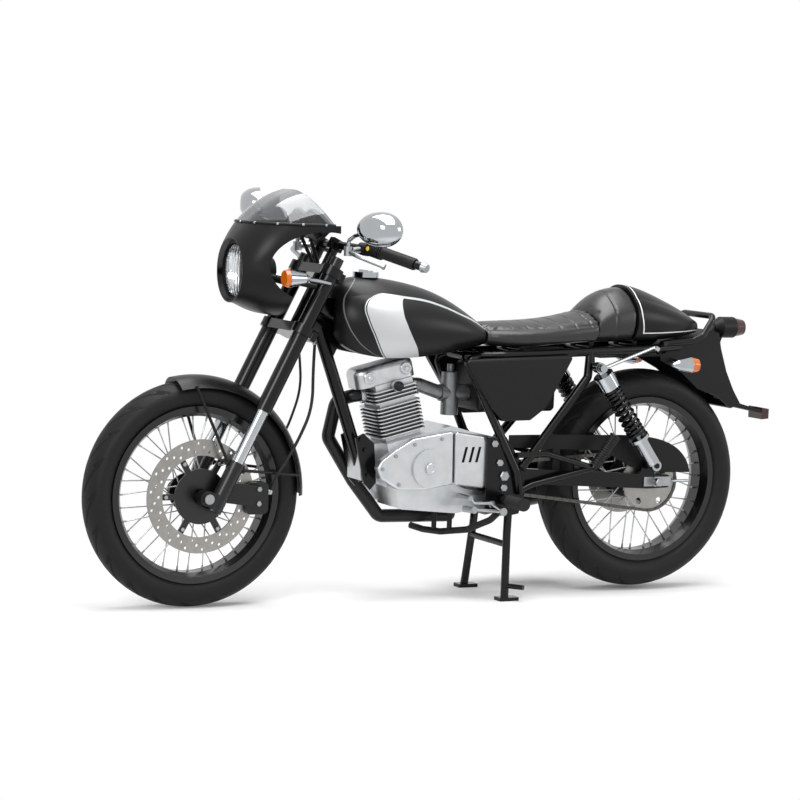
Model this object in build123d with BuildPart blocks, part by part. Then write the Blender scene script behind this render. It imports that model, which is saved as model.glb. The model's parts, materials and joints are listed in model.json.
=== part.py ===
from build123d import *
import os
from math import cos, radians, sin

# A small cafe racer motorcycle on its centre stand.
# +X is forward, +Y is the rider's left, +Z is up; the floor is z = 0; sizes are in millimetres.

# Running gear
WHEELBASE = 1350.0
REAR_AXLE_X = -612.0
FRONT_AXLE_X = REAR_AXLE_X + WHEELBASE
RIM_SEAT_R = 218.0
RIM_WELL_DEPTH = 14.0
RIM_WELL_R = RIM_SEAT_R - RIM_WELL_DEPTH
RIM_FLANGE_H = 13.0
FRONT_TYRE_H = 78.0
FRONT_TYRE_R = RIM_SEAT_R + FRONT_TYRE_H
FRONT_TYRE_W = 100.0
REAR_TYRE_H = 89.0
REAR_TYRE_R = RIM_SEAT_R + REAR_TYRE_H
REAR_TYRE_W = 130.0
STAND_LIFT = 8.0
FRONT_AXLE_Z = FRONT_TYRE_R
REAR_AXLE_Z = REAR_TYRE_R + STAND_LIFT
RIM_FLANGE_T = 6.0
AXLE_R = 7.5
SPOKES = 36
SPOKE_R = 1.8
SPOKE_SWEEP = 34.0
FIT = 0.3

# Steering head and fork
RAKE = 26.6
HEAD_X = 420.0
HEAD_Z = 785.0
YOKE_OFFSET = 30.0
FORK_HALF = 98.0
STANCHION_R = 16.5
COVER_R = 21.5
SLIDER_R = 21.0
HEAD_TUBE_R = 27.0
HEAD_TUBE_TOP = 78.4
HEAD_TUBE_FOOT = -64.4
TOP_YOKE_S = 92.0
LOWER_YOKE_S = -78.0
YOKE_T = 26.0
FORK_TOP_S = 132.0
COVER_FOOT_S = -313.0
SLIDER_TOP_S = -469.0

# Brakes and drive
DISC_R = 148.0
DISC_T = 5.0
FRONT_DISC_Y = 64.0
DISC_HOLE_R = 4.0
DISC_HOLE_COUNT = 18
# Rings of drilled holes in the front disc: (radius, first angle)
DISC_HOLES = [(116.0, 0.0), (127.0, 7.0), (138.0, 14.0)]
REAR_DISC_R = 110.0
REAR_DISC_Y = -74.0
SPROCKET_R = 84.0
CHAIN_Y = 76.0
CHAIN_W = 11.0
CHAIN_H = 12.0
GUARD_PLATE_Y = 87.0
DRIVE_X = -38.0
DRIVE_Z = 335.0
DRIVE_R = 30.0

# Frame
TUBE_R = 12.0
SPINE_R = 19.0
DOWNTUBE_R = 17.0
RAIL_Y = 92.0
PIVOT_X = -127.0
PIVOT_Z = 341.0
PIVOT_PLATE_Y = 107.0
PIVOT_PLATE_T = 6.0
ARM_Y = 94.0
ARM_W = 20.0
ARM_H = 42.0
SHOCK_Y = 132.0
SHOCK_TOP_X = -398.0
SHOCK_TOP_Z = 635.0
SHOCK_FOOT_X = REAR_AXLE_X + 19.0
SHOCK_FOOT_Z = REAR_AXLE_Z + 48.0
SPRING_COILS = 9
SPRING_R = 27.0
SPRING_WIRE_R = 4.6
STAND_X = -156.0
STAND_Z = 252.0

# Engine
CASE_HALF = 75.0
COVER_Y = 110.0
BARREL_X = 150.0
BARREL_Z = 441.0
BARREL_LEAN = 14.0
BARREL_H = 102.0
FIN_COUNT = 9
FIN_T = 3.0
FIN_LENGTH = 136.0
FIN_WIDTH = 120.0
HEAD_H = 104.0
HEAD_COVER_FOOT = 52.0
HEAD_COVER_L = 176.0
HEAD_COVER_W = 92.0
PIPE_R = 18.0
MUFFLER_R = 42.0

# Bodywork
LAMP_R = 76.0
LAMP_X = 629.0
LAMP_Z = 877.0
FAIRING_TOP = 1002.0
FAIRING_HALF = 150.0
SCREEN_RISE = 92.0
SCREEN_TOP = FAIRING_TOP + SCREEN_RISE
SKIN_T = 4.0
GUARD_GAP = 10.0
GUARD_R = FRONT_TYRE_R + GUARD_GAP
GUARD_DROP = 26.0
GUARD_EDGE = GUARD_R - GUARD_DROP
GUARD_HALF = 60.0
BAR_R = 11.0
GRIP_R = 16.0
GRIP_IN = (318.0, 190.0, 941.0)
GRIP_OUT = (254.0, 318.0, 908.0)
PLATE_HOLE_R = 3.3
TUNNEL_GAP = 17.0
SPINE_TAIL_Z = 690.0
TUNNEL_FOOT = SPINE_TAIL_Z + SPINE_R + TUNNEL_GAP
TUNNEL_SLOPE = 0.17

os.makedirs("parts", exist_ok=True)


def keep(built, label):
    """Name one sub-part and write it to its own file."""
    built.part.label = label
    export_step(built.part, os.path.join("parts", label + ".step"))


def along(start, end, share):
    """The point a share of the way from start to end."""
    return Vector(start) + (Vector(end) - Vector(start)) * share


def flip(point):
    """The same point on the other side of the middle plane."""
    return (point[0], -point[1], point[2])


def tube(points, bend, radius):
    """Round bar along straight runs joined by bends of one radius."""
    with BuildPart() as made:
        with BuildLine() as route:
            FilletPolyline(*points, radius=bend)
        with BuildSketch(Plane(origin=route.line @ 0, z_dir=route.line % 0)):
            Circle(radius)
        sweep(path=route.line)
    return made.part


def cord(points, radius):
    """Round cord along a route, each bend as wide as the shorter of its two runs leaves room for."""
    bends = []
    for before, at, after in zip(points, points[1:], points[2:]):
        run_in = Vector(at) - Vector(before)
        run_out = Vector(after) - Vector(at)
        half = radians(run_in.get_angle(run_out)) / 2
        bends.append(0.45 * min(run_in.length, run_out.length) * cos(half) / sin(half))
    print("cord bends", [round(bend) for bend in bends])
    return tube(points, bends, radius)


def rod(start, end, radius, tip=None):
    """Straight round bar between two points, tapered to a tip radius if given."""
    run = Vector(end) - Vector(start)
    with BuildPart() as made:
        with BuildSketch(Plane(origin=start, z_dir=run)):
            Circle(radius)
        if tip is None:
            extrude(amount=run.length)
        else:
            with BuildSketch(Plane(origin=end, z_dir=run)):
                Circle(tip)
            loft()
    return made.part


def slab(outline, y_low, y_high, round_to=0.0):
    """Plate cut to a side outline, standing between two distances from the middle plane."""
    with BuildPart() as made:
        with BuildSketch(Plane.XZ.offset(-y_high)) as face:
            Polygon(*outline, align=None)
            if round_to:
                fillet(face.vertices(), round_to)
        extrude(amount=y_high - y_low)
    return made.part


def round_slab(x, z, radius, y_low, y_high):
    """Round plate or boss lying across the machine."""
    return rod((x, y_low, z), (x, y_high, z), radius)


def both(part):
    """A piece and its mirror image across the middle plane."""
    return [part, mirror(part, about=Plane.XZ)]


def casting(outline, y_far, corner, edge):
    """Side casting on the crankcase: a rounded outline drawn out to a distance, its outer edge rounded."""
    with BuildPart() as made:
        with BuildSketch(Plane.XZ.offset(-y_far)) as face:
            Polygon(*outline, align=None)
            fillet(face.vertices(), corner)
        extrude(amount=y_far - CASE_HALF - FIT)
        fillet(made.faces().sort_by(Axis.Y)[-1].edges(), edge)
    return made.part


def radial_plane(x, z, angle):
    """Plane through a wheel's axis: its first axis lies across, its second points outward."""
    turn = radians(angle)
    return Plane(origin=(x, 0, z), x_dir=(0, 1, 0), z_dir=(sin(turn), 0, -cos(turn)))


def spin_axis(x, z):
    """The axis of a wheel."""
    return Axis((x, 0, z), (0, 1, 0))


def turned(x, z, outline):
    """Solid turned about a wheel's axis from a closed outline of (across, radius) points."""
    with BuildPart() as made:
        with BuildSketch(radial_plane(x, z, 90)):
            Polygon(*outline, align=None)
        revolve(axis=spin_axis(x, z))
    return made.part


def hull_of(stations, crown=0.72, foot=0.72):
    """Smooth body through sections given as (x, half width, low, high).

    Each section has a flat foot, bulged flanks and an arched crown.
    """
    with BuildPart() as made:
        for x, half, low, high in stations:
            waist = low + (high - low) * 0.42
            brow = low + (high - low) * 0.78
            with BuildSketch(Plane.YZ.offset(x)):
                with BuildLine():
                    Line((-half * foot, low), (half * foot, low))
                    ThreePointArc((half * foot, low), (half, waist), (half * crown, brow))
                    ThreePointArc((half * crown, brow), (0, high), (-half * crown, brow))
                    ThreePointArc((-half * crown, brow), (-half, waist), (-half * foot, low))
                make_face()
        loft()
    return made.part


# Steering frame: first axis forward across the head, third axis up along the head
STEER = Plane(
    origin=(HEAD_X, 0, HEAD_Z),
    x_dir=(cos(radians(RAKE)), 0, sin(radians(RAKE))),
    z_dir=(-sin(radians(RAKE)), 0, cos(radians(RAKE))),
)
AXLE_LOCAL = STEER.to_local_coords(Vector(FRONT_AXLE_X, 0, FRONT_AXLE_Z))
SLIDER_FOOT_S = AXLE_LOCAL.Z - 22.0


def on_fork(side, s, ahead=0.0, out=0.0):
    """Point beside a fork leg in the machine's frame: side is +1 for the left leg."""
    return STEER.from_local_coords(Vector(YOKE_OFFSET + ahead, side * (FORK_HALF + out), s))


def leg(side, s_low, s_high, radius):
    """Round length of a fork leg."""
    return rod(on_fork(side, s_low), on_fork(side, s_high), radius)


# Wheels: (name, x, z, tyre radius, tyre width, bead half width, flange half gap, flange radius, hub end)
WHEELS = [
    ("front", FRONT_AXLE_X, FRONT_AXLE_Z, FRONT_TYRE_R, FRONT_TYRE_W, 33.0, 30.0, 50.0, 50.0),
    ("rear", REAR_AXLE_X, REAR_AXLE_Z, REAR_TYRE_R, REAR_TYRE_W, 42.0, 36.0, 62.0, 66.0),
]
for name, x, z, radius, width, bead, gap, flange_r, hub_end in WHEELS:
    flange_top = RIM_SEAT_R + RIM_FLANGE_H
    bulge_r = flange_top + 0.4 * (radius - flange_top)
    shoulder_y = 0.44 * width
    shoulder_r = radius - 0.18 * width

    with BuildPart() as tyre:
        with BuildSketch(radial_plane(x, z, 90)):
            with BuildLine():
                Line((-bead, RIM_SEAT_R + FIT), (bead, RIM_SEAT_R + FIT))
                Line((bead, RIM_SEAT_R + FIT), (bead, flange_top))
                ThreePointArc((bead, flange_top), (width / 2, bulge_r), (shoulder_y, shoulder_r))
                ThreePointArc((shoulder_y, shoulder_r), (0, radius), (-shoulder_y, shoulder_r))
                ThreePointArc((-shoulder_y, shoulder_r), (-width / 2, bulge_r), (-bead, flange_top))
                Line((-bead, flange_top), (-bead, RIM_SEAT_R + FIT))
            make_face()
        revolve(axis=spin_axis(x, z))
    keep(tyre, name + "_tyre")

    lip = bead + FIT + RIM_FLANGE_T
    half_rim = [
        (0, RIM_WELL_R + 5),
        (12, RIM_WELL_R + 5),
        (20, RIM_SEAT_R),
        (bead + FIT, RIM_SEAT_R),
        (bead + FIT, flange_top),
        (lip, flange_top),
        (lip, RIM_SEAT_R - 4),
        (22, RIM_WELL_R),
        (0, RIM_WELL_R),
    ]
    with BuildPart() as rim:
        add(turned(x, z, half_rim + [(-y, r) for y, r in reversed(half_rim[1:-1])]))
    keep(rim, name + "_rim")

    half_hub = [
        (hub_end, AXLE_R + FIT),
        (hub_end, 21),
        (gap + 8, 26),
        (gap + 3, 34),
        (gap + 3, flange_r),
        (gap - 3, flange_r),
        (gap - 3, 30),
        (0, 27),
    ]
    with BuildPart() as hub:
        add(turned(x, z, half_hub + [(-y, r) for y, r in reversed(half_hub[:-1])]))
        laces = []
        for i in range(SPOKES):
            side = 1 if i % 2 == 0 else -1
            lean = 1 if (i // 2) % 2 == 0 else -1
            at_rim = radians(i * 360.0 / SPOKES)
            at_hub = at_rim + lean * radians(SPOKE_SWEEP)
            inner_r = flange_r - 4.0
            outer_r = RIM_WELL_R - 3 * FIT
            y_hub = side * (gap + 2.4 * lean)
            y_rim = side * 7.0
            laces.append(
                rod(
                    (x + inner_r * cos(at_hub), y_hub, z + inner_r * sin(at_hub)),
                    (x + outer_r * cos(at_rim), y_rim, z + outer_r * sin(at_rim)),
                    SPOKE_R,
                )
            )
        add(laces)
        if name == "front":
            carrier_y = FRONT_DISC_Y - DISC_T / 2
            add(turned(x, z, [(48, 20), (48, 60), (carrier_y, 72), (carrier_y + DISC_T, 72), (carrier_y + DISC_T, 20)]))
            with BuildSketch(Plane(origin=(x, carrier_y, z), x_dir=(1, 0, 0), z_dir=(0, 1, 0))):
                with PolarLocations(87, 6):
                    Rectangle(37, 16)
            extrude(amount=DISC_T)
        else:
            disc_in = REAR_DISC_Y + DISC_T / 2
            add(turned(x, z, [(disc_in, 20), (disc_in, 62), (disc_in - DISC_T, 62), (disc_in - DISC_T, 20)]))
            ring_y = CHAIN_Y - 3.0
            add(turned(x, z, [(64, 20), (64, 56), (ring_y, 56), (ring_y, 20)]))
            add(turned(x, z, [(-64, 20), (-64, 40), (disc_in, 40), (disc_in, 20)]))
            with Locations((x, 0, z)):
                Cylinder(AXLE_R + FIT, 300, rotation=(90, 0, 0), mode=Mode.SUBTRACT)
    keep(hub, name + "_hub")

with BuildPart() as front_disc:
    low = FRONT_DISC_Y - DISC_T / 2
    high = FRONT_DISC_Y + DISC_T / 2
    add(turned(FRONT_AXLE_X, FRONT_AXLE_Z, [(low, 106), (high, 106), (high, DISC_R), (low, DISC_R)]))
    with BuildSketch(Plane(origin=(FRONT_AXLE_X, low - 1, FRONT_AXLE_Z), x_dir=(1, 0, 0), z_dir=(0, 1, 0))):
        for ring_r, start in DISC_HOLES:
            with PolarLocations(ring_r, DISC_HOLE_COUNT, start_angle=start):
                Circle(DISC_HOLE_R)
    extrude(amount=DISC_T + 2, mode=Mode.SUBTRACT)
keep(front_disc, "front_disc")

with BuildPart() as rear_disc:
    low = REAR_DISC_Y - DISC_T / 2
    high = REAR_DISC_Y + DISC_T / 2
    add(turned(REAR_AXLE_X, REAR_AXLE_Z, [(low, 62 + FIT), (high, 62 + FIT), (high, REAR_DISC_R), (low, REAR_DISC_R)]))
keep(rear_disc, "rear_disc")

with BuildPart() as rear_sprocket:
    add(round_slab(REAR_AXLE_X, REAR_AXLE_Z, SPROCKET_R, CHAIN_Y - 2.7, CHAIN_Y + 2.5))
    with BuildSketch(Plane(origin=(REAR_AXLE_X, CHAIN_Y - 4, REAR_AXLE_Z), x_dir=(1, 0, 0), z_dir=(0, 1, 0))):
        with PolarLocations(66, 6):
            Circle(9)
        Circle(AXLE_R + 6.5)
    extrude(amount=8, mode=Mode.SUBTRACT)
keep(rear_sprocket, "rear_sprocket")

# Axles with their collars and end nuts
with BuildPart() as front_axle:
    add(round_slab(FRONT_AXLE_X, FRONT_AXLE_Z, AXLE_R, -124, 124))
    for side in (1, -1):
        add(round_slab(FRONT_AXLE_X, FRONT_AXLE_Z, 13, side * 68, side * 79.7))
        add(round_slab(FRONT_AXLE_X, FRONT_AXLE_Z, 13, side * 116.3, side * 127))
keep(front_axle, "front_axle")

with BuildPart() as rear_axle:
    add(round_slab(REAR_AXLE_X, REAR_AXLE_Z, AXLE_R, -124, 124))
    for side in (1, -1):
        add(round_slab(REAR_AXLE_X, REAR_AXLE_Z, 12, side * 79, side * 83.7))
        add(round_slab(REAR_AXLE_X, REAR_AXLE_Z, 14, side * 104.3, side * 112))
        add(round_slab(REAR_AXLE_X, REAR_AXLE_Z, 11, side * 111, side * 126))
        low = min(side * (ARM_Y + ARM_W / 2 + FIT), side * (ARM_Y + ARM_W / 2 + 4))
        tab = [(36, 13), (36, -13), (-52, -13), (-52, 13)]
        add(slab([(REAR_AXLE_X + x, REAR_AXLE_Z + z) for x, z in tab], low, low + 3.7))
        bolt = (REAR_AXLE_X - 60, side * (ARM_Y + ARM_W / 2 - 2), REAR_AXLE_Z)
        add(rod((REAR_AXLE_X - 51, side * (ARM_Y + ARM_W / 2 + 2), REAR_AXLE_Z), bolt, 4))
        add(rod(bolt, (REAR_AXLE_X - 112, bolt[1], REAR_AXLE_Z), 4))
keep(rear_axle, "rear_axle")

# Fork legs
with BuildPart() as fork_tubes:
    for side in (1, -1):
        add(leg(side, SLIDER_FOOT_S + 40, FORK_TOP_S, STANCHION_R))
keep(fork_tubes, "fork_tubes")

with BuildPart() as fork_covers:
    for side in (1, -1):
        add(leg(side, COVER_FOOT_S, LOWER_YOKE_S - YOKE_T / 2 - FIT, COVER_R))
        add(leg(side, LOWER_YOKE_S + YOKE_T / 2 + FIT, TOP_YOKE_S - YOKE_T / 2 - FIT, COVER_R))
    for side in (1, -1):
        add(leg(side, COVER_FOOT_S - 5, FORK_TOP_S, STANCHION_R + FIT), mode=Mode.SUBTRACT)
keep(fork_covers, "fork_covers")

with BuildPart() as fork_sliders:
    for side in (1, -1):
        add(leg(side, SLIDER_FOOT_S, SLIDER_TOP_S, SLIDER_R))
        add(leg(side, SLIDER_TOP_S - 16, SLIDER_TOP_S + 8, SLIDER_R + 2))
        heel = on_fork(side, AXLE_LOCAL.Z)
        add(
            slab(
                [
                    (heel.X, heel.Z - 20),
                    (FRONT_AXLE_X, FRONT_AXLE_Z - 20),
                    (FRONT_AXLE_X, FRONT_AXLE_Z + 20),
                    (heel.X, heel.Z + 26),
                ],
                min(side * 80, side * 116),
                max(side * 80, side * 116),
            )
        )
        add(round_slab(FRONT_AXLE_X, FRONT_AXLE_Z, 20, side * 80, side * 116))
    lug_top = on_fork(1, SLIDER_TOP_S - 50)
    lug_foot = on_fork(1, SLIDER_TOP_S - 105)
    add(
        slab(
            [
                (lug_top.X, lug_top.Z),
                (lug_top.X - 100, lug_top.Z - 10),
                (lug_foot.X - 124, lug_foot.Z - 18),
                (lug_foot.X, lug_foot.Z),
            ],
            86,
            96,
        )
    )
    for side in (1, -1):
        add(leg(side, SLIDER_FOOT_S + 40 - FIT, SLIDER_TOP_S + 10, STANCHION_R + FIT), mode=Mode.SUBTRACT)
    add(round_slab(FRONT_AXLE_X, FRONT_AXLE_Z, AXLE_R + FIT, -130, 130), mode=Mode.SUBTRACT)
keep(fork_sliders, "fork_sliders")

BAR_S = STEER.to_local_coords(Vector(369, 0, 949)).Z
BAR_ROUTE = [flip(GRIP_OUT), flip(GRIP_IN), (369, -70, 949), (369, 70, 949), GRIP_IN, GRIP_OUT]
with BuildPart(STEER) as yoke_blocks:
    for level, depth in ((TOP_YOKE_S, 64.0), (LOWER_YOKE_S, 70.0)):
        with Locations((YOKE_OFFSET / 2, 0, level)):
            Box(depth, 2 * FORK_HALF - 20, YOKE_T)
        with Locations((YOKE_OFFSET, FORK_HALF, level), (YOKE_OFFSET, -FORK_HALF, level)):
            Cylinder(COVER_R + 7, YOKE_T)
    with Locations((0, 0, (TOP_YOKE_S + LOWER_YOKE_S) / 2)):
        Cylinder(12.5, TOP_YOKE_S - LOWER_YOKE_S)
    with Locations((0, 0, TOP_YOKE_S + YOKE_T / 2 + 6)):
        Cylinder(15, 12)
    with Locations((YOKE_OFFSET - 2, 42, TOP_YOKE_S + 40), (YOKE_OFFSET - 2, -42, TOP_YOKE_S + 40)):
        Cylinder(13, 70)
    with Locations((YOKE_OFFSET - 2, 42, BAR_S), (YOKE_OFFSET - 2, -42, BAR_S)):
        Box(36, 26, 30)
    with Locations((YOKE_OFFSET, FORK_HALF, 0), (YOKE_OFFSET, -FORK_HALF, 0)):
        Cylinder(STANCHION_R + FIT, 400, mode=Mode.SUBTRACT)
with BuildPart() as yokes:
    add(yoke_blocks.part)
    add(tube(BAR_ROUTE, 30, BAR_R + FIT), mode=Mode.SUBTRACT)
keep(yokes, "yokes")

# Handlebar and its controls
with BuildPart() as handlebar:
    add(tube(BAR_ROUTE, 30, BAR_R))
keep(handlebar, "handlebar")

with BuildPart() as grips:
    for end in (1, -1):
        inner = GRIP_IN if end > 0 else flip(GRIP_IN)
        outer = GRIP_OUT if end > 0 else flip(GRIP_OUT)
        add(rod(along(inner, outer, 0.1), along(inner, outer, 0.84), GRIP_R))
        add(rod(along(inner, outer, 0.08), along(inner, outer, 0.1), GRIP_R + 4))
    add(tube(BAR_ROUTE, 30, BAR_R + FIT), mode=Mode.SUBTRACT)
keep(grips, "grips")

with BuildPart() as switchgear:
    for end in (1, -1):
        inner = GRIP_IN if end > 0 else flip(GRIP_IN)
        outer = GRIP_OUT if end > 0 else flip(GRIP_OUT)
        add(rod(along(inner, outer, -0.18), along(inner, outer, 0.07), 20))
        root = (369, end * 70, 949)
        add(rod(along(inner, root, 0.26), along(inner, root, 0.46), 17))
    add(tube(BAR_ROUTE, 30, BAR_R + FIT), mode=Mode.SUBTRACT)
keep(switchgear, "switchgear")

LEVER_PIVOT = (388.0, 158.0, 938.0)
LEVER_TIP = (334.0, 254.0, 905.0)
with BuildPart() as hand_controls:
    for end in (1, -1):
        pivot = LEVER_PIVOT if end > 0 else flip(LEVER_PIVOT)
        tip = LEVER_TIP if end > 0 else flip(LEVER_TIP)
        knee = (pivot[0] - 4, pivot[1] + end * 44, pivot[2] - 10)
        add(tube([pivot, knee, tip], 40, 6))
        add(rod((pivot[0], pivot[1], pivot[2] - 12), (pivot[0], pivot[1], pivot[2] + 12), 12))
        add(rod((pivot[0] - 3, pivot[1], pivot[2]), (348, end * 146, 942), 9))
        add(rod(along(knee, tip, 0.98), along(knee, tip, 1.06), 8))
    add(tube(BAR_ROUTE, 30, 17 + FIT), mode=Mode.SUBTRACT)
    for end in (1, -1):
        inner = GRIP_IN if end > 0 else flip(GRIP_IN)
        outer = GRIP_OUT if end > 0 else flip(GRIP_OUT)
        add(rod(along(inner, outer, 1.002), along(inner, outer, 1.1), 14, 11))
keep(hand_controls, "hand_controls")

# Mirrors: (side, centre of the head, tilt of the stalk's elbow)
MIRRORS = [(1, (379.0, 302.0, 1000.0), 20.0), (-1, (458.0, -312.0, 1044.0), 34.0)]
MIRROR_TURN = 25.0
MIRROR_HALF_W = 66.0
MIRROR_HALF_H = 45.0
# Sections of the shell: (distance in front of the head's centre, share of the width, share of the height)
MIRROR_SHELL = [(-22.0, 1.0, 1.0), (-4.0, 0.98, 0.97), (16.0, 0.82, 0.8), (30.0, 0.48, 0.44)]
with BuildPart() as mirrors:
    for side, head, rise in MIRRORS:
        foot = (388.0, side * 158.0, 938.0 + 12.3)
        elbow = (head[0] + 14, side * 205.0, head[2] - rise)
        add(tube([foot, (foot[0], foot[1], foot[2] + 16), elbow, head], 10, 5.5))
        ahead = Vector(cos(radians(MIRROR_TURN)), side * sin(radians(MIRROR_TURN)), 0)
        across = Vector(-side * sin(radians(MIRROR_TURN)), cos(radians(MIRROR_TURN)), 0)
        for distance, wide, tall in MIRROR_SHELL:
            with BuildSketch(Plane(origin=Vector(head) + ahead * distance, x_dir=across, z_dir=ahead)):
                Ellipse(MIRROR_HALF_W * wide, MIRROR_HALF_H * tall)
        loft()
keep(mirrors, "mirrors")

# Nose: lamp, fairing, screen and clocks
# Nose stations shared by the fairing and its screen: (x, half width, low, high, corner radius)
NOSE = [
    (LAMP_X + 22.0, LAMP_R + 8.0, LAMP_Z - LAMP_R - 8.0, LAMP_Z + LAMP_R + 8.0, LAMP_R + 6.0),
    (LAMP_X - 6.0, FAIRING_HALF - 37.0, 787.0, FAIRING_TOP - 2.0, 100.0),
    (LAMP_X - 54.0, FAIRING_HALF - 14.0, 769.0, SCREEN_TOP - 46.0, 112.0),
    (LAMP_X - 132.0, FAIRING_HALF - 3.0, 764.0, SCREEN_TOP - 5.0, 118.0),
    (LAMP_X - 222.0, FAIRING_HALF, 764.0, SCREEN_TOP + 14.0, 120.0),
]


def nose_body(skin):
    """Smooth nose through its stations, shrunk inward by a skin and run past both ends when shrunk."""
    with BuildPart() as made:
        for x, half, low, high, corner in NOSE:
            over = 1.0 if skin else 0.0
            at = x + over if x > LAMP_X else x
            at = x - over if x < LAMP_X - 200 else at
            with BuildSketch(Plane.YZ.offset(at)):
                with Locations((0, (low + high) / 2)):
                    RectangleRounded(2 * (half - skin), high - low - 2 * skin, corner - skin)
        loft()
    return made.part


with BuildPart() as headlamp:
    with BuildSketch(Plane.XZ):
        with BuildLine():
            Polyline(
                (LAMP_X - 96, LAMP_Z),
                (LAMP_X - 96, LAMP_Z + 34),
                (LAMP_X - 60, LAMP_Z + 66),
                (LAMP_X - 6, LAMP_Z + LAMP_R),
                (LAMP_X + 10, LAMP_Z + LAMP_R),
                (LAMP_X + 10, LAMP_Z + LAMP_R - 5),
                (LAMP_X - 6, LAMP_Z + LAMP_R - 8),
                (LAMP_X - 60, LAMP_Z + 56),
                (LAMP_X - 88, LAMP_Z + 26),
                (LAMP_X - 88, LAMP_Z),
                close=True,
            )
        make_face()
    revolve(axis=Axis((0, 0, LAMP_Z), (1, 0, 0)))
    for side in (1, -1):
        add(rod((LAMP_X - 42, side * 62, LAMP_Z - 8), on_fork(side, 40, COVER_R - 6), 7))
        add(rod((LAMP_X - 22, side * 66, LAMP_Z - 6), (LAMP_X - 22, side * 100, LAMP_Z - 6), 8))
        add(leg(side, -40, 78, COVER_R + FIT), mode=Mode.SUBTRACT)
keep(headlamp, "headlamp")

LENS_R = LAMP_R - 7.4
LENS_SAG = 14.0
LENS_BALL = (LENS_R**2 + LENS_SAG**2) / (2 * LENS_SAG)
with BuildPart() as headlamp_lens:
    with BuildSketch(Plane.XZ):
        with BuildLine():
            Line((LAMP_X, LAMP_Z), (LAMP_X, LAMP_Z + LENS_R))
            Line((LAMP_X, LAMP_Z + LENS_R), (LAMP_X + 5, LAMP_Z + LENS_R))
            RadiusArc((LAMP_X + 5, LAMP_Z + LENS_R), (LAMP_X + 5 + LENS_SAG, LAMP_Z), LENS_BALL)
            Line((LAMP_X + 5 + LENS_SAG, LAMP_Z), (LAMP_X, LAMP_Z))
        make_face()
    revolve(axis=Axis((0, 0, LAMP_Z), (1, 0, 0)))
keep(headlamp_lens, "headlamp_lens")

with BuildPart() as nose_tabs:
    add(both(rod((LAMP_X - 22, 100 + FIT, LAMP_Z - 6), (LAMP_X - 22, 170, LAMP_Z - 6), 8)))
    add(nose_body(SKIN_T / 2), mode=Mode.INTERSECT)

with BuildPart() as fairing:
    add(nose_body(0.0))
    add(nose_body(SKIN_T), mode=Mode.SUBTRACT)
    with BuildSketch(Plane.XZ.offset(-200)):
        with Locations((LAMP_X - 185, 893)):
            Ellipse(150, 92)
        with Locations((450, 820)):
            Rectangle(152, 140)
    extrude(amount=400, mode=Mode.SUBTRACT)
    with Locations((500, 0, FAIRING_TOP + 100)):
        Box(500, 400, 200, mode=Mode.SUBTRACT)
    add(nose_tabs.part)
keep(fairing, "fairing")

with BuildPart() as windscreen:
    add(nose_body(0.0))
    add(nose_body(SKIN_T), mode=Mode.SUBTRACT)
    with Locations((500, 0, FAIRING_TOP + FIT - 200)):
        Box(500, 400, 400, mode=Mode.SUBTRACT)
    rake_back = Plane(origin=(494, 0, SCREEN_TOP), x_dir=(0, 1, 0), z_dir=(0.79, 0, -0.61))
    split(bisect_by=rake_back, keep=Keep.TOP)
keep(windscreen, "windscreen")

with BuildPart() as instruments:
    for side in (1, -1):
        add(rod((440, side * 44, 990), (418, side * 44, 1012), 40))
        add(rod((452, side * 44, 978), (440, side * 44, 990), 30))
        stem = STEER.from_local_coords(Vector(40, side * 16, TOP_YOKE_S + YOKE_T / 2 + 4))
        add(rod(stem, (444, side * 30, 982), 5))
    add(rod((444, -46, 982), (444, 46, 982), 6))
    add(tube(BAR_ROUTE, 30, BAR_R + 3), mode=Mode.SUBTRACT)
keep(instruments, "instruments")

with BuildPart() as front_indicators:
    for side in (1, -1):
        add(rod((560, side * 168, 866), (514, side * 168, 866), 24, 15))
        add(rod((514, side * 168, 866), (500, side * 168, 866), 15, 6))
        add(rod((508, side * 166, 866), on_fork(side, 60, 0, COVER_R + FIT), 6))
    for side in (1, -1):
        add(leg(side, -40, 78, COVER_R + FIT), mode=Mode.SUBTRACT)
keep(front_indicators, "front_indicators")

with BuildPart() as front_indicator_lenses:
    for side in (1, -1):
        add(rod((560.3, side * 168, 866), (572, side * 168, 866), 23.5, 20))
keep(front_indicator_lenses, "front_indicator_lenses")

# Front mudguard with its stays
with BuildPart() as front_mudguard:
    with BuildSketch(radial_plane(FRONT_AXLE_X, FRONT_AXLE_Z, 181)):
        with BuildLine():
            ThreePointArc((-GUARD_HALF - 3, GUARD_EDGE), (0, GUARD_R + 4), (GUARD_HALF + 3, GUARD_EDGE))
            Line((GUARD_HALF + 3, GUARD_EDGE), (GUARD_HALF, GUARD_EDGE))
            ThreePointArc((GUARD_HALF, GUARD_EDGE), (0, GUARD_R), (-GUARD_HALF, GUARD_EDGE))
            Line((-GUARD_HALF, GUARD_EDGE), (-GUARD_HALF - 3, GUARD_EDGE))
        make_face()
    revolve(axis=spin_axis(FRONT_AXLE_X, FRONT_AXLE_Z), revolution_arc=103)
    for side in (1, -1):
        for angle, ahead in ((86, 22.0), (170, -22.0)):
            turn = radians(angle)
            reach = GUARD_EDGE + 6
            edge = (FRONT_AXLE_X + reach * cos(turn), side * (GUARD_HALF + 2), FRONT_AXLE_Z + reach * sin(turn))
            add(rod(edge, on_fork(side, SLIDER_TOP_S - 4, ahead), 4))
            add(rod(on_fork(side, SLIDER_TOP_S - 4, ahead * 1.3), on_fork(side, SLIDER_TOP_S - 4, ahead), 7))
    for side in (1, -1):
        add(leg(side, SLIDER_FOOT_S, SLIDER_TOP_S + 30, SLIDER_R + 2 + FIT), mode=Mode.SUBTRACT)
keep(front_mudguard, "front_mudguard")

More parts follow.
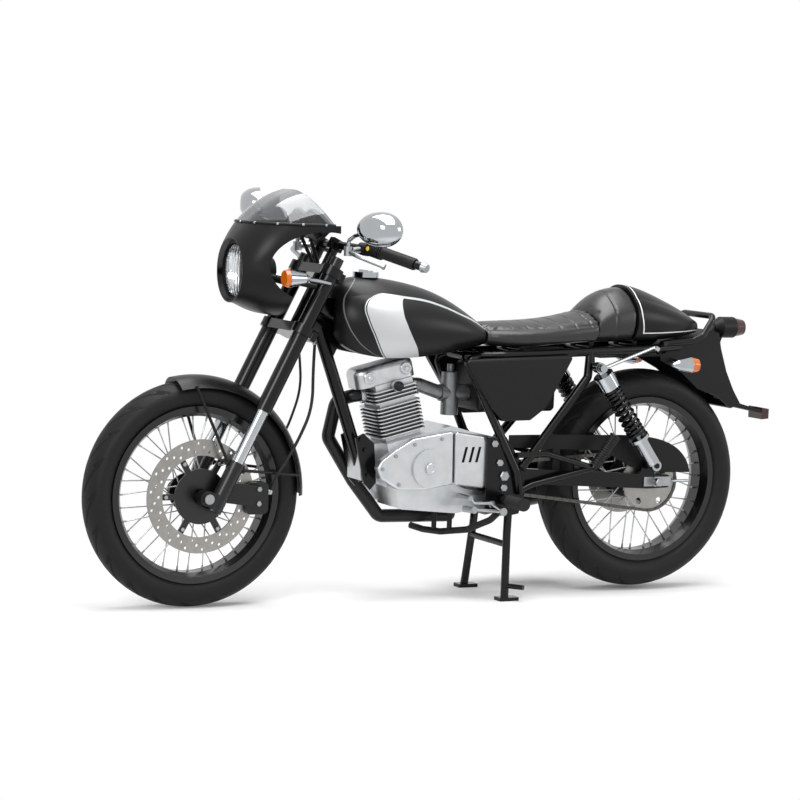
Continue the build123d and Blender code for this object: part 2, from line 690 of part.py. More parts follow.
# Front caliper straddling the disc behind the left leg
with BuildPart() as front_caliper:
    with Locations((FRONT_AXLE_X - 152, FRONT_DISC_Y, FRONT_AXLE_Z - 6)):
        Box(62, 38, 84)
    fillet(front_caliper.edges().filter_by(Axis.Y), 14)
    with Locations((FRONT_AXLE_X - 140, FRONT_DISC_Y, FRONT_AXLE_Z - 6)):
        Box(60, DISC_T + 10, 90, mode=Mode.SUBTRACT)
    for drop in (20, -18):
        add(round_slab(FRONT_AXLE_X - 150, FRONT_AXLE_Z + drop, 7, 82, 85.7))
keep(front_caliper, "front_caliper")

# Brake hose down the left leg and speedometer cable down the right one
HOSE = [
    (546, 72, 306),
    (544, 90, 340),
    (518, 92, 378),
    (474, 84, 444),
    (434, 74, 525),
    (430, 60, 627),
    (424, 52, 690),
]
SPEEDO_CABLE = [
    (424, -52, 690),
    (412, -65, 649),
    (403, -68, 562),
    (431, -68, 476),
    (450, -67, 440),
    (471, -64.3, 393),
]
with BuildPart() as brake_hose:
    add(cord(HOSE, 4.2))
    add(rod((554.5, 72, 305), (543, 72, 305), 8))
    add(rod((424, 52, 688), (429.5, 49.8, 710.2), 6))
    add(cord(SPEEDO_CABLE, 3.5))
    add(rod((424, -52, 688), (429.5, -49.8, 710.2), 6))
keep(brake_hose, "brake_hose")

# Frame: head, spine, downtube and engine plates
DOWN_TOP = (392.0, 0.0, 730.0)
DOWN_FOOT = (238.0, 0.0, 322.0)
HEAD_TOP_POINT = STEER.from_local_coords(Vector(0, 0, HEAD_TUBE_TOP))
HEAD_FOOT_POINT = STEER.from_local_coords(Vector(0, 0, HEAD_TUBE_FOOT))
ENGINE_BOLTS = [(262.0, 408.0), (252.0, 340.0)]
with BuildPart() as frame_main:
    add(rod(HEAD_FOOT_POINT, HEAD_TOP_POINT, HEAD_TUBE_R))
    add(tube([(405, 0, 792), (330, 0, 758), (-30, 0, SPINE_TAIL_Z), (-60, 0, SPINE_TAIL_Z)], 60, SPINE_R))
    add(rod((428, 0, 752), DOWN_TOP, DOWNTUBE_R + 4))
    add(rod(DOWN_TOP, DOWN_FOOT, DOWNTUBE_R))
    add(slab([(396, 778), (300, 752), (352, 640), (396, 720)], -4, 4))
    for x in (290.0, 10.0):
        add(rod((x, 0, 700), (x, 0, TUNNEL_FOOT + TUNNEL_SLOPE * (x + 120 - 15) - FIT), 15))
    for side in (1, -1):
        add(
            slab(
                [(292, 440), (268, 452), (236, 425), (226, 320), (244, 300), (262, 318)],
                min(side * 40.3, side * 46.3),
                max(side * 40.3, side * 46.3),
            )
        )
    for x, z in ENGINE_BOLTS + [(276.0, 436.0)]:
        add(round_slab(x, z, 6, -52, 52))
    add(rod(HEAD_FOOT_POINT, HEAD_TOP_POINT, 12.5 + FIT), mode=Mode.SUBTRACT)
keep(frame_main, "frame_main")

# Seat, bump and cowl stations: (x, half width, low, high)
SEAT = [
    (-76.0, 80.0, 688.0, 750.0),
    (-170.0, 106.0, 684.0, 754.0),
    (-300.0, 118.0, 694.0, 764.0),
    (-412.0, 116.0, 698.0, 790.0),
]
BUMP = [
    (-412.4, 100.0, 700.0, 794.0),
    (-440.0, 106.0, 700.0, 824.0),
    (-490.0, 110.0, 702.0, 848.0),
    (-531.6, 112.0, 704.0, 856.0),
]
COWL = [
    (-532.0, 113.0, 704.0, 857.0),
    (-600.0, 110.0, 708.0, 842.0),
    (-668.0, 98.0, 714.0, 815.0),
    (-730.0, 76.0, 722.0, 786.0),
    (-760.0, 58.0, 728.0, 768.0),
]

SEAT_RAIL = [(-30, 40, 658), (-110, RAIL_Y, 664), (-560, RAIL_Y, 682), (-700, 60, 690)]
TRIANGLE_FRONT = [(-64, 62, 660), (-12, 90, 648), (-160, 118, 354), (-174, 118, 292)]
PEG_FOOT = (-392, 138, 360)
PEG_TIP = (-448, 152, 449)
TRIANGLE_REAR = [(-392, RAIL_Y, 678), (-384, 98, 606), (-176, 118, 360)]

# Rear frame: triangle tubes, seat rails and pivot plates on both sides
REAR_BOLTS = [(-92.0, 428.0), (-90.0, 264.0)]
with BuildPart() as frame_rear:
    add(both(tube(SEAT_RAIL, 60, TUBE_R)))
    add(both(tube(TRIANGLE_FRONT, 16, TUBE_R)))
    add(both(tube(TRIANGLE_REAR, 24, TUBE_R)))
    plate = [(-72, 446), (-72, 250), (-140, 230), (-176, 236), (-192, 286), (-186, 366), (-128, 446)]
    add(both(slab(plate, PIVOT_PLATE_Y, PIVOT_PLATE_Y + PIVOT_PLATE_T)))
    add(rod((-30, -44, 658), (-30, 44, 658), TUBE_R - 1))
    for x, z in ((-200, 667.6), (-420, 676.4), (-560, 682)):
        add(rod((x, -RAIL_Y, z), (x, RAIL_Y, z), TUBE_R - 3))
        for y in (50, -50):
            add(rod((x, y, z), (x, y, z + 60), 7))
    for stations in (SEAT, BUMP, COWL):
        lower = [(x, half + 1, low - FIT, high + 20) for x, half, low, high in stations]
        add(hull_of(lower), mode=Mode.SUBTRACT)
    for x, z in REAR_BOLTS:
        add(round_slab(x, z, 6, -118, 118))
    add(round_slab(PIVOT_X, PIVOT_Z, 8, -119, 119))
    add(both(round_slab(STAND_X, STAND_Z, 7, 91, PIVOT_PLATE_Y + PIVOT_PLATE_T)))
    add(both(round_slab(SHOCK_TOP_X, SHOCK_TOP_Z, 7.5, RAIL_Y - 4, SHOCK_Y + 14)))
    add(both(rod((SHOCK_TOP_X, RAIL_Y, SHOCK_TOP_Z), (-394, RAIL_Y, 676), 10)))
    add(both(tube([(-160, 118, 396), (-250, 124, 400), (-388, 132, 362)], 20, 8)))
    add(both(tube([(-176, 118, 300), (-210, 122, 316), (-388, 132, 356)], 20, 8)))
    add(both(rod(PEG_FOOT, along(PEG_FOOT, PEG_TIP, 0.095), 9)))
keep(frame_rear, "frame_rear")

with BuildPart() as swingarm:
    arm = [
        (PIVOT_X + 24, PIVOT_Z + ARM_H / 2),
        (REAR_AXLE_X + 20, REAR_AXLE_Z + 20),
        (REAR_AXLE_X - 48, REAR_AXLE_Z + 18),
        (REAR_AXLE_X - 48, REAR_AXLE_Z - 18),
        (REAR_AXLE_X + 20, REAR_AXLE_Z - 20),
        (PIVOT_X + 24, PIVOT_Z - ARM_H / 2),
    ]
    add(both(slab(arm, ARM_Y - ARM_W / 2, ARM_Y + ARM_W / 2, 6)))
    add(round_slab(PIVOT_X, PIVOT_Z, 19, -ARM_Y, ARM_Y))
    add(round_slab(PIVOT_X - 105, PIVOT_Z - 4, 15, -ARM_Y, ARM_Y))
    ear = [
        (SHOCK_FOOT_X + 33, SHOCK_FOOT_Z - 33),
        (SHOCK_FOOT_X - 19, SHOCK_FOOT_Z - 33),
        (SHOCK_FOOT_X - 13, SHOCK_FOOT_Z + 13),
        (SHOCK_FOOT_X + 13, SHOCK_FOOT_Z + 13),
    ]
    add(both(slab(ear, ARM_Y - 1, ARM_Y + 10)))
    add(both(round_slab(SHOCK_FOOT_X, SHOCK_FOOT_Z, 7.5, ARM_Y, SHOCK_Y + 14)))
    add(round_slab(PIVOT_X, PIVOT_Z, 8 + FIT, -130, 130), mode=Mode.SUBTRACT)
    add(round_slab(REAR_AXLE_X, REAR_AXLE_Z, AXLE_R + FIT, -130, 130), mode=Mode.SUBTRACT)
keep(swingarm, "swingarm")

# Shock absorbers: eyes, caps and damper bodies, then the springs round them
SHOCK_TOP = (SHOCK_TOP_X, SHOCK_Y, SHOCK_TOP_Z)
SHOCK_FOOT = (SHOCK_FOOT_X, SHOCK_Y, SHOCK_FOOT_Z)
SPRING_FROM = 0.30
SPRING_TO = 0.80
with BuildPart() as shock_absorbers:
    for turn in (1, -1):
        top = SHOCK_TOP if turn > 0 else flip(SHOCK_TOP)
        foot = SHOCK_FOOT if turn > 0 else flip(SHOCK_FOOT)
        add(rod(along(foot, top, 0.03), along(foot, top, SPRING_FROM - 0.02), 19))
        add(rod(along(foot, top, SPRING_FROM - 0.03), along(foot, top, SPRING_FROM - 0.001), SPRING_R + 2))
        add(rod(along(foot, top, SPRING_FROM - 0.05), along(foot, top, SPRING_TO + 0.02), 13))
        add(rod(along(foot, top, SPRING_TO + 0.001), along(foot, top, 0.93), SPRING_R + 2))
        add(rod(along(foot, top, 0.9), along(foot, top, 0.98), 12))
        for eye in (top, foot):
            add(rod((eye[0], eye[1] - 11, eye[2]), (eye[0], eye[1] + 11, eye[2]), 15))
            add(
                rod((eye[0], eye[1] - 20, eye[2]), (eye[0], eye[1] + 20, eye[2]), 7.5 + FIT),
                mode=Mode.SUBTRACT,
            )
    stay_top = (SHOCK_TOP_X, SHOCK_Y + 23, SHOCK_TOP_Z)
    stay_end = (SHOCK_TOP_X - 190, SHOCK_Y - 24, SHOCK_TOP_Z + 55)
    add(both(round_slab(SHOCK_TOP_X, SHOCK_TOP_Z, 11, SHOCK_Y + 14 + FIT, SHOCK_Y + 28)))
    add(both(rod(stay_top, stay_end, 5)))
    add(both(rod(stay_end, (SHOCK_TOP_X - 204, SHOCK_Y - 27, SHOCK_TOP_Z + 49), 8)))
keep(shock_absorbers, "shock_absorbers")

with BuildPart() as shock_springs:
    for turn in (1, -1):
        top = SHOCK_TOP if turn > 0 else flip(SHOCK_TOP)
        foot = SHOCK_FOOT if turn > 0 else flip(SHOCK_FOOT)
        low = along(foot, top, SPRING_FROM)
        high = along(foot, top, SPRING_TO)
        length = (high - low).length
        pitch = length / SPRING_COILS
        axis_dir = (high - low).normalized()
        across = Vector(0, 1, 0)
        with BuildSketch(Plane(origin=low, x_dir=across, z_dir=across.cross(axis_dir))):
            with BuildLine():
                bead_r = SPRING_R - SPRING_WIRE_R
                Line((13 + FIT, 0), (bead_r, 0))
                for i in range(SPRING_COILS):
                    ThreePointArc((bead_r, i * pitch), (SPRING_R, (i + 0.5) * pitch), (bead_r, (i + 1) * pitch))
                Line((bead_r, length), (13 + FIT, length))
                Line((13 + FIT, length), (13 + FIT, 0))
            make_face()
        revolve(axis=Axis(low, axis_dir))
keep(shock_springs, "shock_springs")

def drive_space(grow, y_low, y_high):
    """The flat loop round both sprockets, grown outward, between two distances from the middle plane."""
    with BuildPart() as made:
        with BuildSketch(Plane.XZ.offset(-y_high)):
            with Locations((REAR_AXLE_X, REAR_AXLE_Z)):
                Circle(SPROCKET_R + FIT + grow)
            with Locations((DRIVE_X, DRIVE_Z)):
                Circle(DRIVE_R + grow)
            make_hull()
        extrude(amount=y_high - y_low)
    return made.part


# Engine: crankcase, side covers, finned barrel, head, carburettor and air box
CASE = [
    (212, 425.6),
    (205, 400),
    (196, 326),
    (160, 250),
    (0, 236),
    (-76, 246),
    (-106, 252),
    (-104, 300),
    (-84, 318),
    (-84, 366),
    (-106, 410),
    (-104, 444),
    (-60, 452),
    (20, 473),
    (88, 456.5),
]
with BuildPart() as crankcase:
    add(slab(CASE, -CASE_HALF, CASE_HALF))
    add(slab([(190, 426), (272, 420), (270, 326), (240, 322), (190, 306)], -40, 40))
    for x, z in ENGINE_BOLTS + REAR_BOLTS + [(276.0, 436.0)]:
        add(round_slab(x, z, 6 + FIT, -150, 150), mode=Mode.SUBTRACT)
    add(rod(DOWN_TOP, along(DOWN_TOP, DOWN_FOOT, 1.05), DOWNTUBE_R + FIT), mode=Mode.SUBTRACT)
    add(drive_space(CHAIN_H + 5, CHAIN_Y - 8, CHAIN_Y + 20), mode=Mode.SUBTRACT)
    add(round_slab(DRIVE_X, DRIVE_Z, DRIVE_R - FIT, CHAIN_Y - 9, CHAIN_Y + 2.5))
keep(crankcase, "crankcase")

BOSS_X = 94.0
BOSS_Z = 362.0
VENT_Z = 398.0
with BuildPart() as engine_covers:
    left = [
        (248, 364),
        (236, 384),
        (198, 411),
        (143, 442),
        (24.2, 461),
        (20.4, 317),
        (108, 303),
        (184, 305),
        (236, 336),
    ]
    add(casting(left, COVER_Y - 12, 7, 6))
    add(casting([(21.6, 460.6), (-66, 447), (-79, 428), (-84, 324), (-70, 306), (17.8, 316.6)], COVER_Y - 6, 7, 6))
    add(round_slab(BOSS_X, BOSS_Z, 52, CASE_HALF + 5, COVER_Y - 5))
    add(round_slab(BOSS_X, BOSS_Z, 17, COVER_Y - 6, COVER_Y - 1))
    for x in (-8, -29, -49):
        slot = [(x - 1, VENT_Z + 21), (x - 9, VENT_Z + 21), (x + 1, VENT_Z - 21), (x + 9, VENT_Z - 21)]
        add(slab(slot, COVER_Y - 13, COVER_Y), mode=Mode.SUBTRACT)
    right = [(226, 360), (190, 426), (20, 452), (-60, 430), (-64, 300), (0, 252), (170, 256)]
    add(mirror(casting(right, CASE_HALF + 22, 20, 5), about=Plane.XZ))
    add(round_slab(30, 360, 74, -COVER_Y, -CASE_HALF - FIT))
    add(round_slab(160, 350, 40, -COVER_Y + 6, -CASE_HALF - FIT))
    add(drive_space(CHAIN_H + 5, CHAIN_Y - 20, CHAIN_Y + 8), mode=Mode.SUBTRACT)
keep(engine_covers, "engine_covers")

LEAN = radians(BARREL_LEAN)
BARREL = Plane(origin=(BARREL_X, 0, BARREL_Z), x_dir=(cos(LEAN), 0, -sin(LEAN)), z_dir=(sin(LEAN), 0, cos(LEAN)))
with BuildPart(BARREL) as cylinder:
    with Locations((0, 0, BARREL_H / 2 + FIT)):
        Box(104, 96, BARREL_H - 2 * FIT)
    pitch = (BARREL_H - 14.0) / FIN_COUNT
    for i in range(FIN_COUNT):
        with BuildSketch(BARREL.offset(12 + i * pitch)):
            RectangleRounded(FIN_LENGTH, FIN_WIDTH, 16)
        extrude(amount=FIN_T)
keep(cylinder, "cylinder")

HEAD = BARREL.offset(BARREL_H)
with BuildPart(HEAD) as head_block:
    with Locations((0, 0, HEAD_COVER_FOOT / 2 + FIT)):
        Box(112, 100, HEAD_COVER_FOOT)
    for i in range(4):
        with BuildSketch(HEAD.offset(4 + i * pitch)):
            RectangleRounded(FIN_LENGTH, FIN_WIDTH, 16)
        extrude(amount=FIN_T)
    with BuildSketch(HEAD.offset(HEAD_COVER_FOOT)):
        with Locations((12, 0)):
            RectangleRounded(HEAD_COVER_L, HEAD_COVER_W, 30)
    extrude(amount=HEAD_H - HEAD_COVER_FOOT)
    fillet(head_block.faces().sort_by(Axis(HEAD.origin, HEAD.z_dir))[-1].edges(), 18)
with BuildPart() as cylinder_head:
    add(head_block.part)
    port = HEAD.from_local_coords(Vector(50, -14, 26))
    add(rod(port, HEAD.from_local_coords(Vector(74, -18, 28)), 24))
    inlet = HEAD.from_local_coords(Vector(-50, 0, 28))
    add(rod(inlet, HEAD.from_local_coords(Vector(-78, 0, 20)), 20))
    plug = HEAD.from_local_coords(Vector(-4, 52, 40))
    add(rod(plug, HEAD.from_local_coords(Vector(-4, 66, 40)), 15))
keep(cylinder_head, "cylinder_head")

INLET_END = HEAD.from_local_coords(Vector(-78.4, 0, 19.9))
INLET_BEND = HEAD.from_local_coords(Vector(-94, 0, 15.4))
with BuildPart() as carburettor:
    add(rod(INLET_END, INLET_BEND, 19))
    add(rod(INLET_BEND, (22, 0, 556), 19))
    add(rod((22, 0, 556), (-59.7, 0, 556), 23))
    add(rod((-10, 0, 496), (-10, 0, 612), 24))
    add(rod((-10, 0, 612), (-10, 0, 634), 10))
keep(carburettor, "carburettor")

with BuildPart() as airbox:
    with Locations((-180, 0, 575)):
        Box(240, 150, 130)
    fillet(airbox.edges(), 14)
    wheel_gap = rod((REAR_AXLE_X, -90, REAR_AXLE_Z), (REAR_AXLE_X, 90, REAR_AXLE_Z), REAR_TYRE_R + 34)
    add(wheel_gap, mode=Mode.SUBTRACT)
keep(airbox, "airbox")

# Exhaust: pipe from the head, under the engine, to a low silencer on the right
PIPE_START = HEAD.from_local_coords(Vector(74.4, -18.07, 28.03))
PIPE_TURN = HEAD.from_local_coords(Vector(98, -22, 30))
PIPE_ROUTE = [
    PIPE_START,
    PIPE_TURN,
    (298, -68, 528),
    (318, -70, 430),
    (238, -72, 312),
    (156, -72, 213),
    (-60, -72, 210),
    (-118, -176, 216),
    (-190, -184, 226),
]
SILENCER_FROM = (-186.0, -184.0, 225.5)
SILENCER_TO = (-452.0, -196.0, 268.0)
with BuildPart() as exhaust:
    add(tube(PIPE_ROUTE, 26, PIPE_R))
    add(rod(along(SILENCER_FROM, SILENCER_TO, 0.0), along(SILENCER_FROM, SILENCER_TO, 0.16), PIPE_R + 4, MUFFLER_R))
    add(rod(along(SILENCER_FROM, SILENCER_TO, 0.16), SILENCER_TO, MUFFLER_R, MUFFLER_R + 2))
    add(rod(along(SILENCER_FROM, SILENCER_TO, 0.9), along(SILENCER_FROM, SILENCER_TO, 1.01), 22), mode=Mode.SUBTRACT)
    add(slab([(-322, 246), (-362, 252), (-372, 350), (-348, 350)], -149.3, -143.3))
    add(round_slab(-360, 340, 8, -145, -139.2))
keep(exhaust, "exhaust")

# Controls for the feet
PEG_X = -128.0
PEG_Z = 275.0
PEDAL_X = -112.0
PEDAL_Z = 246.0
FOOT_BAR = [
    (PEDAL_X, 122.6, PEDAL_Z),
    (-84, 122.6, 222),
    (-42, 70, 190),
    (2, 0, 176),
    (22, -64, 174),
    (40, -104, 180),
]
with BuildPart() as footrests:
    plate_y = PIVOT_PLATE_Y + PIVOT_PLATE_T
    add(both(rod((PEG_X, plate_y + FIT, PEG_Z), (PEG_X, 128, PEG_Z), 11)))
    add(both(rod((PEG_X, 128, PEG_Z), (PEG_X, 224, PEG_Z + 1), 15)))
    add(both(rod((PEG_X, 224, PEG_Z + 1), (PEG_X, 229, PEG_Z + 1), 17)))
    add(tube(FOOT_BAR, 16, 9))
    add(round_slab(PEDAL_X, PEDAL_Z, 12, plate_y + FIT, 132))
    add(rod((-12.6, 24, 180), (-12.6, 24, 236.4), 7))
    add(rod((9.5, -24, 175), (9.5, -24, 235.6), 7))
    add(both(rod(along(PEG_FOOT, PEG_TIP, 0.1), PEG_TIP, 14)))
keep(footrests, "footrests")

with BuildPart() as foot_levers:
    add(round_slab(-10, 285, 7, CASE_HALF + FIT, 145))
    add(tube([(-10, 139, 285), (-24, 139, 271), (-74, 139, 270), (PEDAL_X, 139, PEDAL_Z)], 5, 4.4))
    add(round_slab(PEDAL_X, PEDAL_Z, 11, 132.4, 145))
    add(rod((PEDAL_X, 139, PEDAL_Z), (0, 139, 256), 5))
    add(rod((0, 132, 256), (0, 186, 259), 9))
    add(tube([(-86, -124, 300), (-20, -126, 296), (60, -128, 262), (118, -128, 276)], 20, 6))
    add(rod((118, -120, 276), (118, -178, 276), 9))
    add(round_slab(-86, 300, 10, -130, -113.3))
keep(foot_levers, "foot_levers")

# Final drive
with BuildPart() as chain:
    add(drive_space(CHAIN_H, CHAIN_Y - CHAIN_W / 2, CHAIN_Y + CHAIN_W / 2))
    add(drive_space(0.0, CHAIN_Y - CHAIN_W, CHAIN_Y + CHAIN_W), mode=Mode.SUBTRACT)
keep(chain, "chain")

with BuildPart() as chain_guard:
    with BuildSketch(Plane.XZ.offset(-GUARD_PLATE_Y - 3)):
        with BuildLine():
            Spline(
                (PIVOT_X - 23, 448),
                (PIVOT_X - 114, 448),
                (REAR_AXLE_X + 158, 445),
                (REAR_AXLE_X - 2, 435),
                (REAR_AXLE_X - 70, 411),
                (REAR_AXLE_X - 110, 374),
                (REAR_AXLE_X - 124, 337),
            )
            Polyline(
                (REAR_AXLE_X - 124, 337),
                (REAR_AXLE_X + 12, 339),
                (REAR_AXLE_X + 72, 356),
                (REAR_AXLE_X + 162, 402),
                (PIVOT_X - 23, 414),
                (PIVOT_X - 23, 448),
            )
        make_face()
    extrude(amount=3)
    add(slab([(-312, 414), (-290, 414), (-290, 351.9), (-312, 350.6)], GUARD_PLATE_Y, GUARD_PLATE_Y + 3))
    add(slab([(-655, 345), (-640, 345), (-640, 334.4), (-655, 334.4)], GUARD_PLATE_Y, GUARD_PLATE_Y + 3))
keep(chain_guard, "chain_guard")

with BuildPart() as rear_caliper:
    with Locations((REAR_AXLE_X + 92, REAR_DISC_Y + 1, REAR_AXLE_Z + 75)):
        Box(70, 32, 66)
    with Locations((REAR_AXLE_X + 84, REAR_DISC_Y, REAR_AXLE_Z + 52)):
        Box(90, DISC_T + 10, 96, mode=Mode.SUBTRACT)
    add(rod((REAR_AXLE_X + 92, -88, REAR_AXLE_Z + 66), (REAR_AXLE_X + 92, -88, REAR_AXLE_Z + 24.8), 6))
keep(rear_caliper, "rear_caliper")

# Tank, saddle and tail
TANK = [
    (366.0, 56.0, 716.0, 812.0),
    (330.0, 98.0, 678.0, 856.0),
    (228.0, 128.0, 657.0, 864.0),
    (92.0, 122.0, 664.0, 838.0),
    (-24.0, 98.0, 682.0, 784.0),
    (-72.0, 76.0, 690.0, 752.0),
]
with BuildPart() as fuel_tank:
    add(hull_of(TANK))
    tunnel_nose = TUNNEL_FOOT + TUNNEL_SLOPE * 620
    add(slab([(500, tunnel_nose), (-120, TUNNEL_FOOT), (-120, 560), (500, 560)], -39, 39), mode=Mode.SUBTRACT)
keep(fuel_tank, "fuel_tank")

with BuildPart() as fuel_cap:
    with Locations((258, 0, 872)):
        Cylinder(35, 14)
    with Locations((258, 0, 880)):
        Box(14, 58, 8)
    fillet(fuel_cap.edges().group_by(Axis.Z)[-1], 2)
    add(hull_of(TANK), mode=Mode.SUBTRACT)
keep(fuel_cap, "fuel_cap")

with BuildPart() as seat:
    add(hull_of(SEAT))
keep(seat, "seat")

with BuildPart() as seat_bump:
    add(hull_of(BUMP))
keep(seat_bump, "seat_bump")

with BuildPart() as seat_cowl:
    add(hull_of(COWL))
keep(seat_cowl, "seat_cowl")

with BuildPart() as grab_rail:
    loop = [(-640, 86, 700), (-722, 90, 706), (-758, 90, 722), (-798, 84, 776)]
    add(tube(loop + [flip(p) for p in reversed(loop)], 22, 9))
    add(both(rod((-640, 86, 700), (-622, 92, 698), 9)))
    add(both(tube(SEAT_RAIL, 60, TUBE_R + FIT)), mode=Mode.SUBTRACT)
keep(grab_rail, "grab_rail")

with BuildPart() as side_covers:
    cover = [(14, 654), (-326, 668), (-300, 622), (-244, 525), (-196, 491), (-109, 489), (-74, 523), (-28, 591)]
    with BuildSketch(Plane.XZ.offset(-126)) as cover_side:
        Polygon(*cover, align=None)
        fillet(cover_side.vertices(), 9)
    extrude(amount=22)
    fillet(side_covers.faces().sort_by(Axis.Y)[-1].edges(), 8)
    for x, z in ((-60, 610), (-240, 610)):
        add(round_slab(x, z, 8, 75.3, 110))
    add(tube(TRIANGLE_FRONT, 16, TUBE_R + FIT), mode=Mode.SUBTRACT)
    add(tube(TRIANGLE_REAR, 24, TUBE_R + FIT), mode=Mode.SUBTRACT)
    add(tube(SEAT_RAIL, 60, TUBE_R + FIT), mode=Mode.SUBTRACT)
    mirror(about=Plane.XZ)
keep(side_covers, "side_covers")

# Rear mudguard: a hollow blade open towards the wheel, with the number-plate stem at its foot
BLADE = [
    (-640, 664),
    (-690, 694),
    (-800, 736),
    (-828, 728),
    (-838, 683),
    (-860, 618),
    (-886, 566),
    (-912, 527),
    (-880, 514),
    (-834, 547),
    (-765, 570),
    (-708, 617),
    (-640, 650),
]
BLADE_SPACE = [
    (-630, 655),
    (-692, 687),
    (-799, 729),
    (-822, 722),
    (-832, 682),
    (-854, 616),
    (-880, 563),
    (-892, 538),
    (-866, 508),
    (-820, 530),
    (-760, 548),
    (-700, 596),
    (-630, 636),
]
with BuildPart() as rear_mudguard:
    add(slab([(-440, 660), (-560, 664), (-650, 668), (-650, 662), (-560, 660), (-440, 656)], -66, 66))
    add(slab(BLADE, -66, 66))
    add(slab(BLADE_SPACE, -61, 61), mode=Mode.SUBTRACT)
    stem = [(-886, 540), (-912, 530), (-1010, 504), (-1006, 497), (-892, 519)]
    add(slab(stem, -34, 34))
    for side in (1, -1):
        add(rod((-636, side * 58, 662), (-636, side * 58, 680), 7))
    add(both(tube(SEAT_RAIL, 60, TUBE_R + FIT)), mode=Mode.SUBTRACT)
    for side in (1, -1):
        add(rod((-962, side * 22, 540), (-962, side * 22, 490), PLATE_HOLE_R), mode=Mode.SUBTRACT)
keep(rear_mudguard, "rear_mudguard")

with BuildPart() as tail_lamp:
    add(rod((-872, 0, 740), (-916, 0, 740), 30))
    add(rod((-872, 0, 740), (-852, 0, 740), 30, 12))
    add(slab([(-852, 744), (-880, 716), (-870, 690), (-837.0, 690), (-830.4, 720)], -8, 8))
keep(tail_lamp, "tail_lamp")

with BuildPart() as tail_lenses:
    add(rod((-916.3, 0, 740), (-948, 0, 740), 28, 22))
    add(slab([(-1010.3, 478), (-1010.3, 512), (-1034, 508), (-1034, 480)], -34, 34))
keep(tail_lenses, "tail_lenses")

with BuildPart() as rear_indicators:
    for side in (1, -1):
        add(rod((-680, side * 150, 644), (-640, side * 150, 644), 23, 15))
        add(rod((-640, side * 150, 644), (-624, side * 150, 644), 15, 5))
        add(rod((-670, side * 140, 644), (-670, side * 67.2, 652), 6))
keep(rear_indicators, "rear_indicators")

with BuildPart() as rear_indicator_lenses:
    for side in (1, -1):
        add(rod((-680.3, side * 150, 644), (-704, side * 150, 644), 22.5, 18))
keep(rear_indicator_lenses, "rear_indicator_lenses")

# Centre stand, down
with BuildPart() as centre_stand:
    hanger = [(STAND_X, 92, STAND_Z), (STAND_X + 4, 96, 180), (STAND_X + 14, 116, 5)]
    add(both(tube(hanger, 30, 11)))
    add(rod((STAND_X, -104, STAND_Z), (STAND_X, 104, STAND_Z), 13))
    add(both(round_slab(STAND_X, STAND_Z, 7 + FIT, 90, 110)), mode=Mode.SUBTRACT)
    add(rod((STAND_X + 6, -101, 150), (STAND_X + 6, 101, 150), 9))
    with Locations((STAND_X + 8, 117, 5), (STAND_X + 8, -117, 5)):
        Box(58, 34, 10)
    add(rod((STAND_X + 10, 118, 40), (STAND_X - 20, 158, 40), 7))
keep(centre_stand, "centre_stand")
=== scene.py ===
"""Looks of a small cafe racer motorcycle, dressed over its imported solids."""

import json
import logging
from dataclasses import dataclass, field
from enum import Enum
from typing import Any, Sequence

import bmesh
import bpy
import numpy as np
from mathutils import Matrix


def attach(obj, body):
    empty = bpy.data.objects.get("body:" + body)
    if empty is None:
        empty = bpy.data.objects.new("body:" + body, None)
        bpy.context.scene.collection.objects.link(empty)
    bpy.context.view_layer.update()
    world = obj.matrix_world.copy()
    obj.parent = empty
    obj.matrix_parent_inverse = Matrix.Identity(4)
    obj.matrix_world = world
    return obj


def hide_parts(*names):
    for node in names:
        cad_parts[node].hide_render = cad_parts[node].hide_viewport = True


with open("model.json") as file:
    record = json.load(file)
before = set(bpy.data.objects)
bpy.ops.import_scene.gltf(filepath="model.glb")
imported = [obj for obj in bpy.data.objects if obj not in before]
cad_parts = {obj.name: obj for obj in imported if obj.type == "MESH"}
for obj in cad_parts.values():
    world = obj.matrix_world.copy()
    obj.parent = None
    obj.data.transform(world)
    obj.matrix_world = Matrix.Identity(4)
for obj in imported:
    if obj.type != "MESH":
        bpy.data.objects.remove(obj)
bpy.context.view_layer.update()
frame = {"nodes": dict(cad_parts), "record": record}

LOG = logging.getLogger("cafe_racer")
NODES: dict[str, bpy.types.Object] = frame["nodes"]
TURN = 2.0 * np.pi
Point = tuple[float, float, float]
Pairs = tuple[tuple[float, float], ...]
Tree = bpy.types.NodeTree
Socket = bpy.types.NodeSocket

# Wheel centres, in metres
FRONT_AXLE: Point = (0.738, 0.0, 0.296)
REAR_AXLE: Point = (-0.612, 0.0, 0.315)


class Body(Enum):
    """The bodies that pieces ride on."""

    CHASSIS = "chassis"
    STEERING = "steering"
    FRONT_WHEEL = "front_wheel"
    REAR_WHEEL = "rear_wheel"


# Colour and shader helpers


def linear(hex_code: str) -> tuple[float, float, float, float]:
    """Turn an sRGB hex colour into linear RGBA.

    Args:
        hex_code: Colour as "#rrggbb".

    Returns:
        Linear red, green, blue and an alpha of one.
    """
    channels = np.array([int(hex_code[i : i + 2], 16) for i in (1, 3, 5)]) / 255.0
    low = channels / 12.92
    high = ((channels + 0.055) / 1.055) ** 2.4
    return (*np.where(channels <= 0.04045, low, high).tolist(), 1.0)


def per_metre(size_mm: float) -> float:
    """Pattern scale that repeats once in a size given in millimetres."""
    return 1000.0 / size_mm


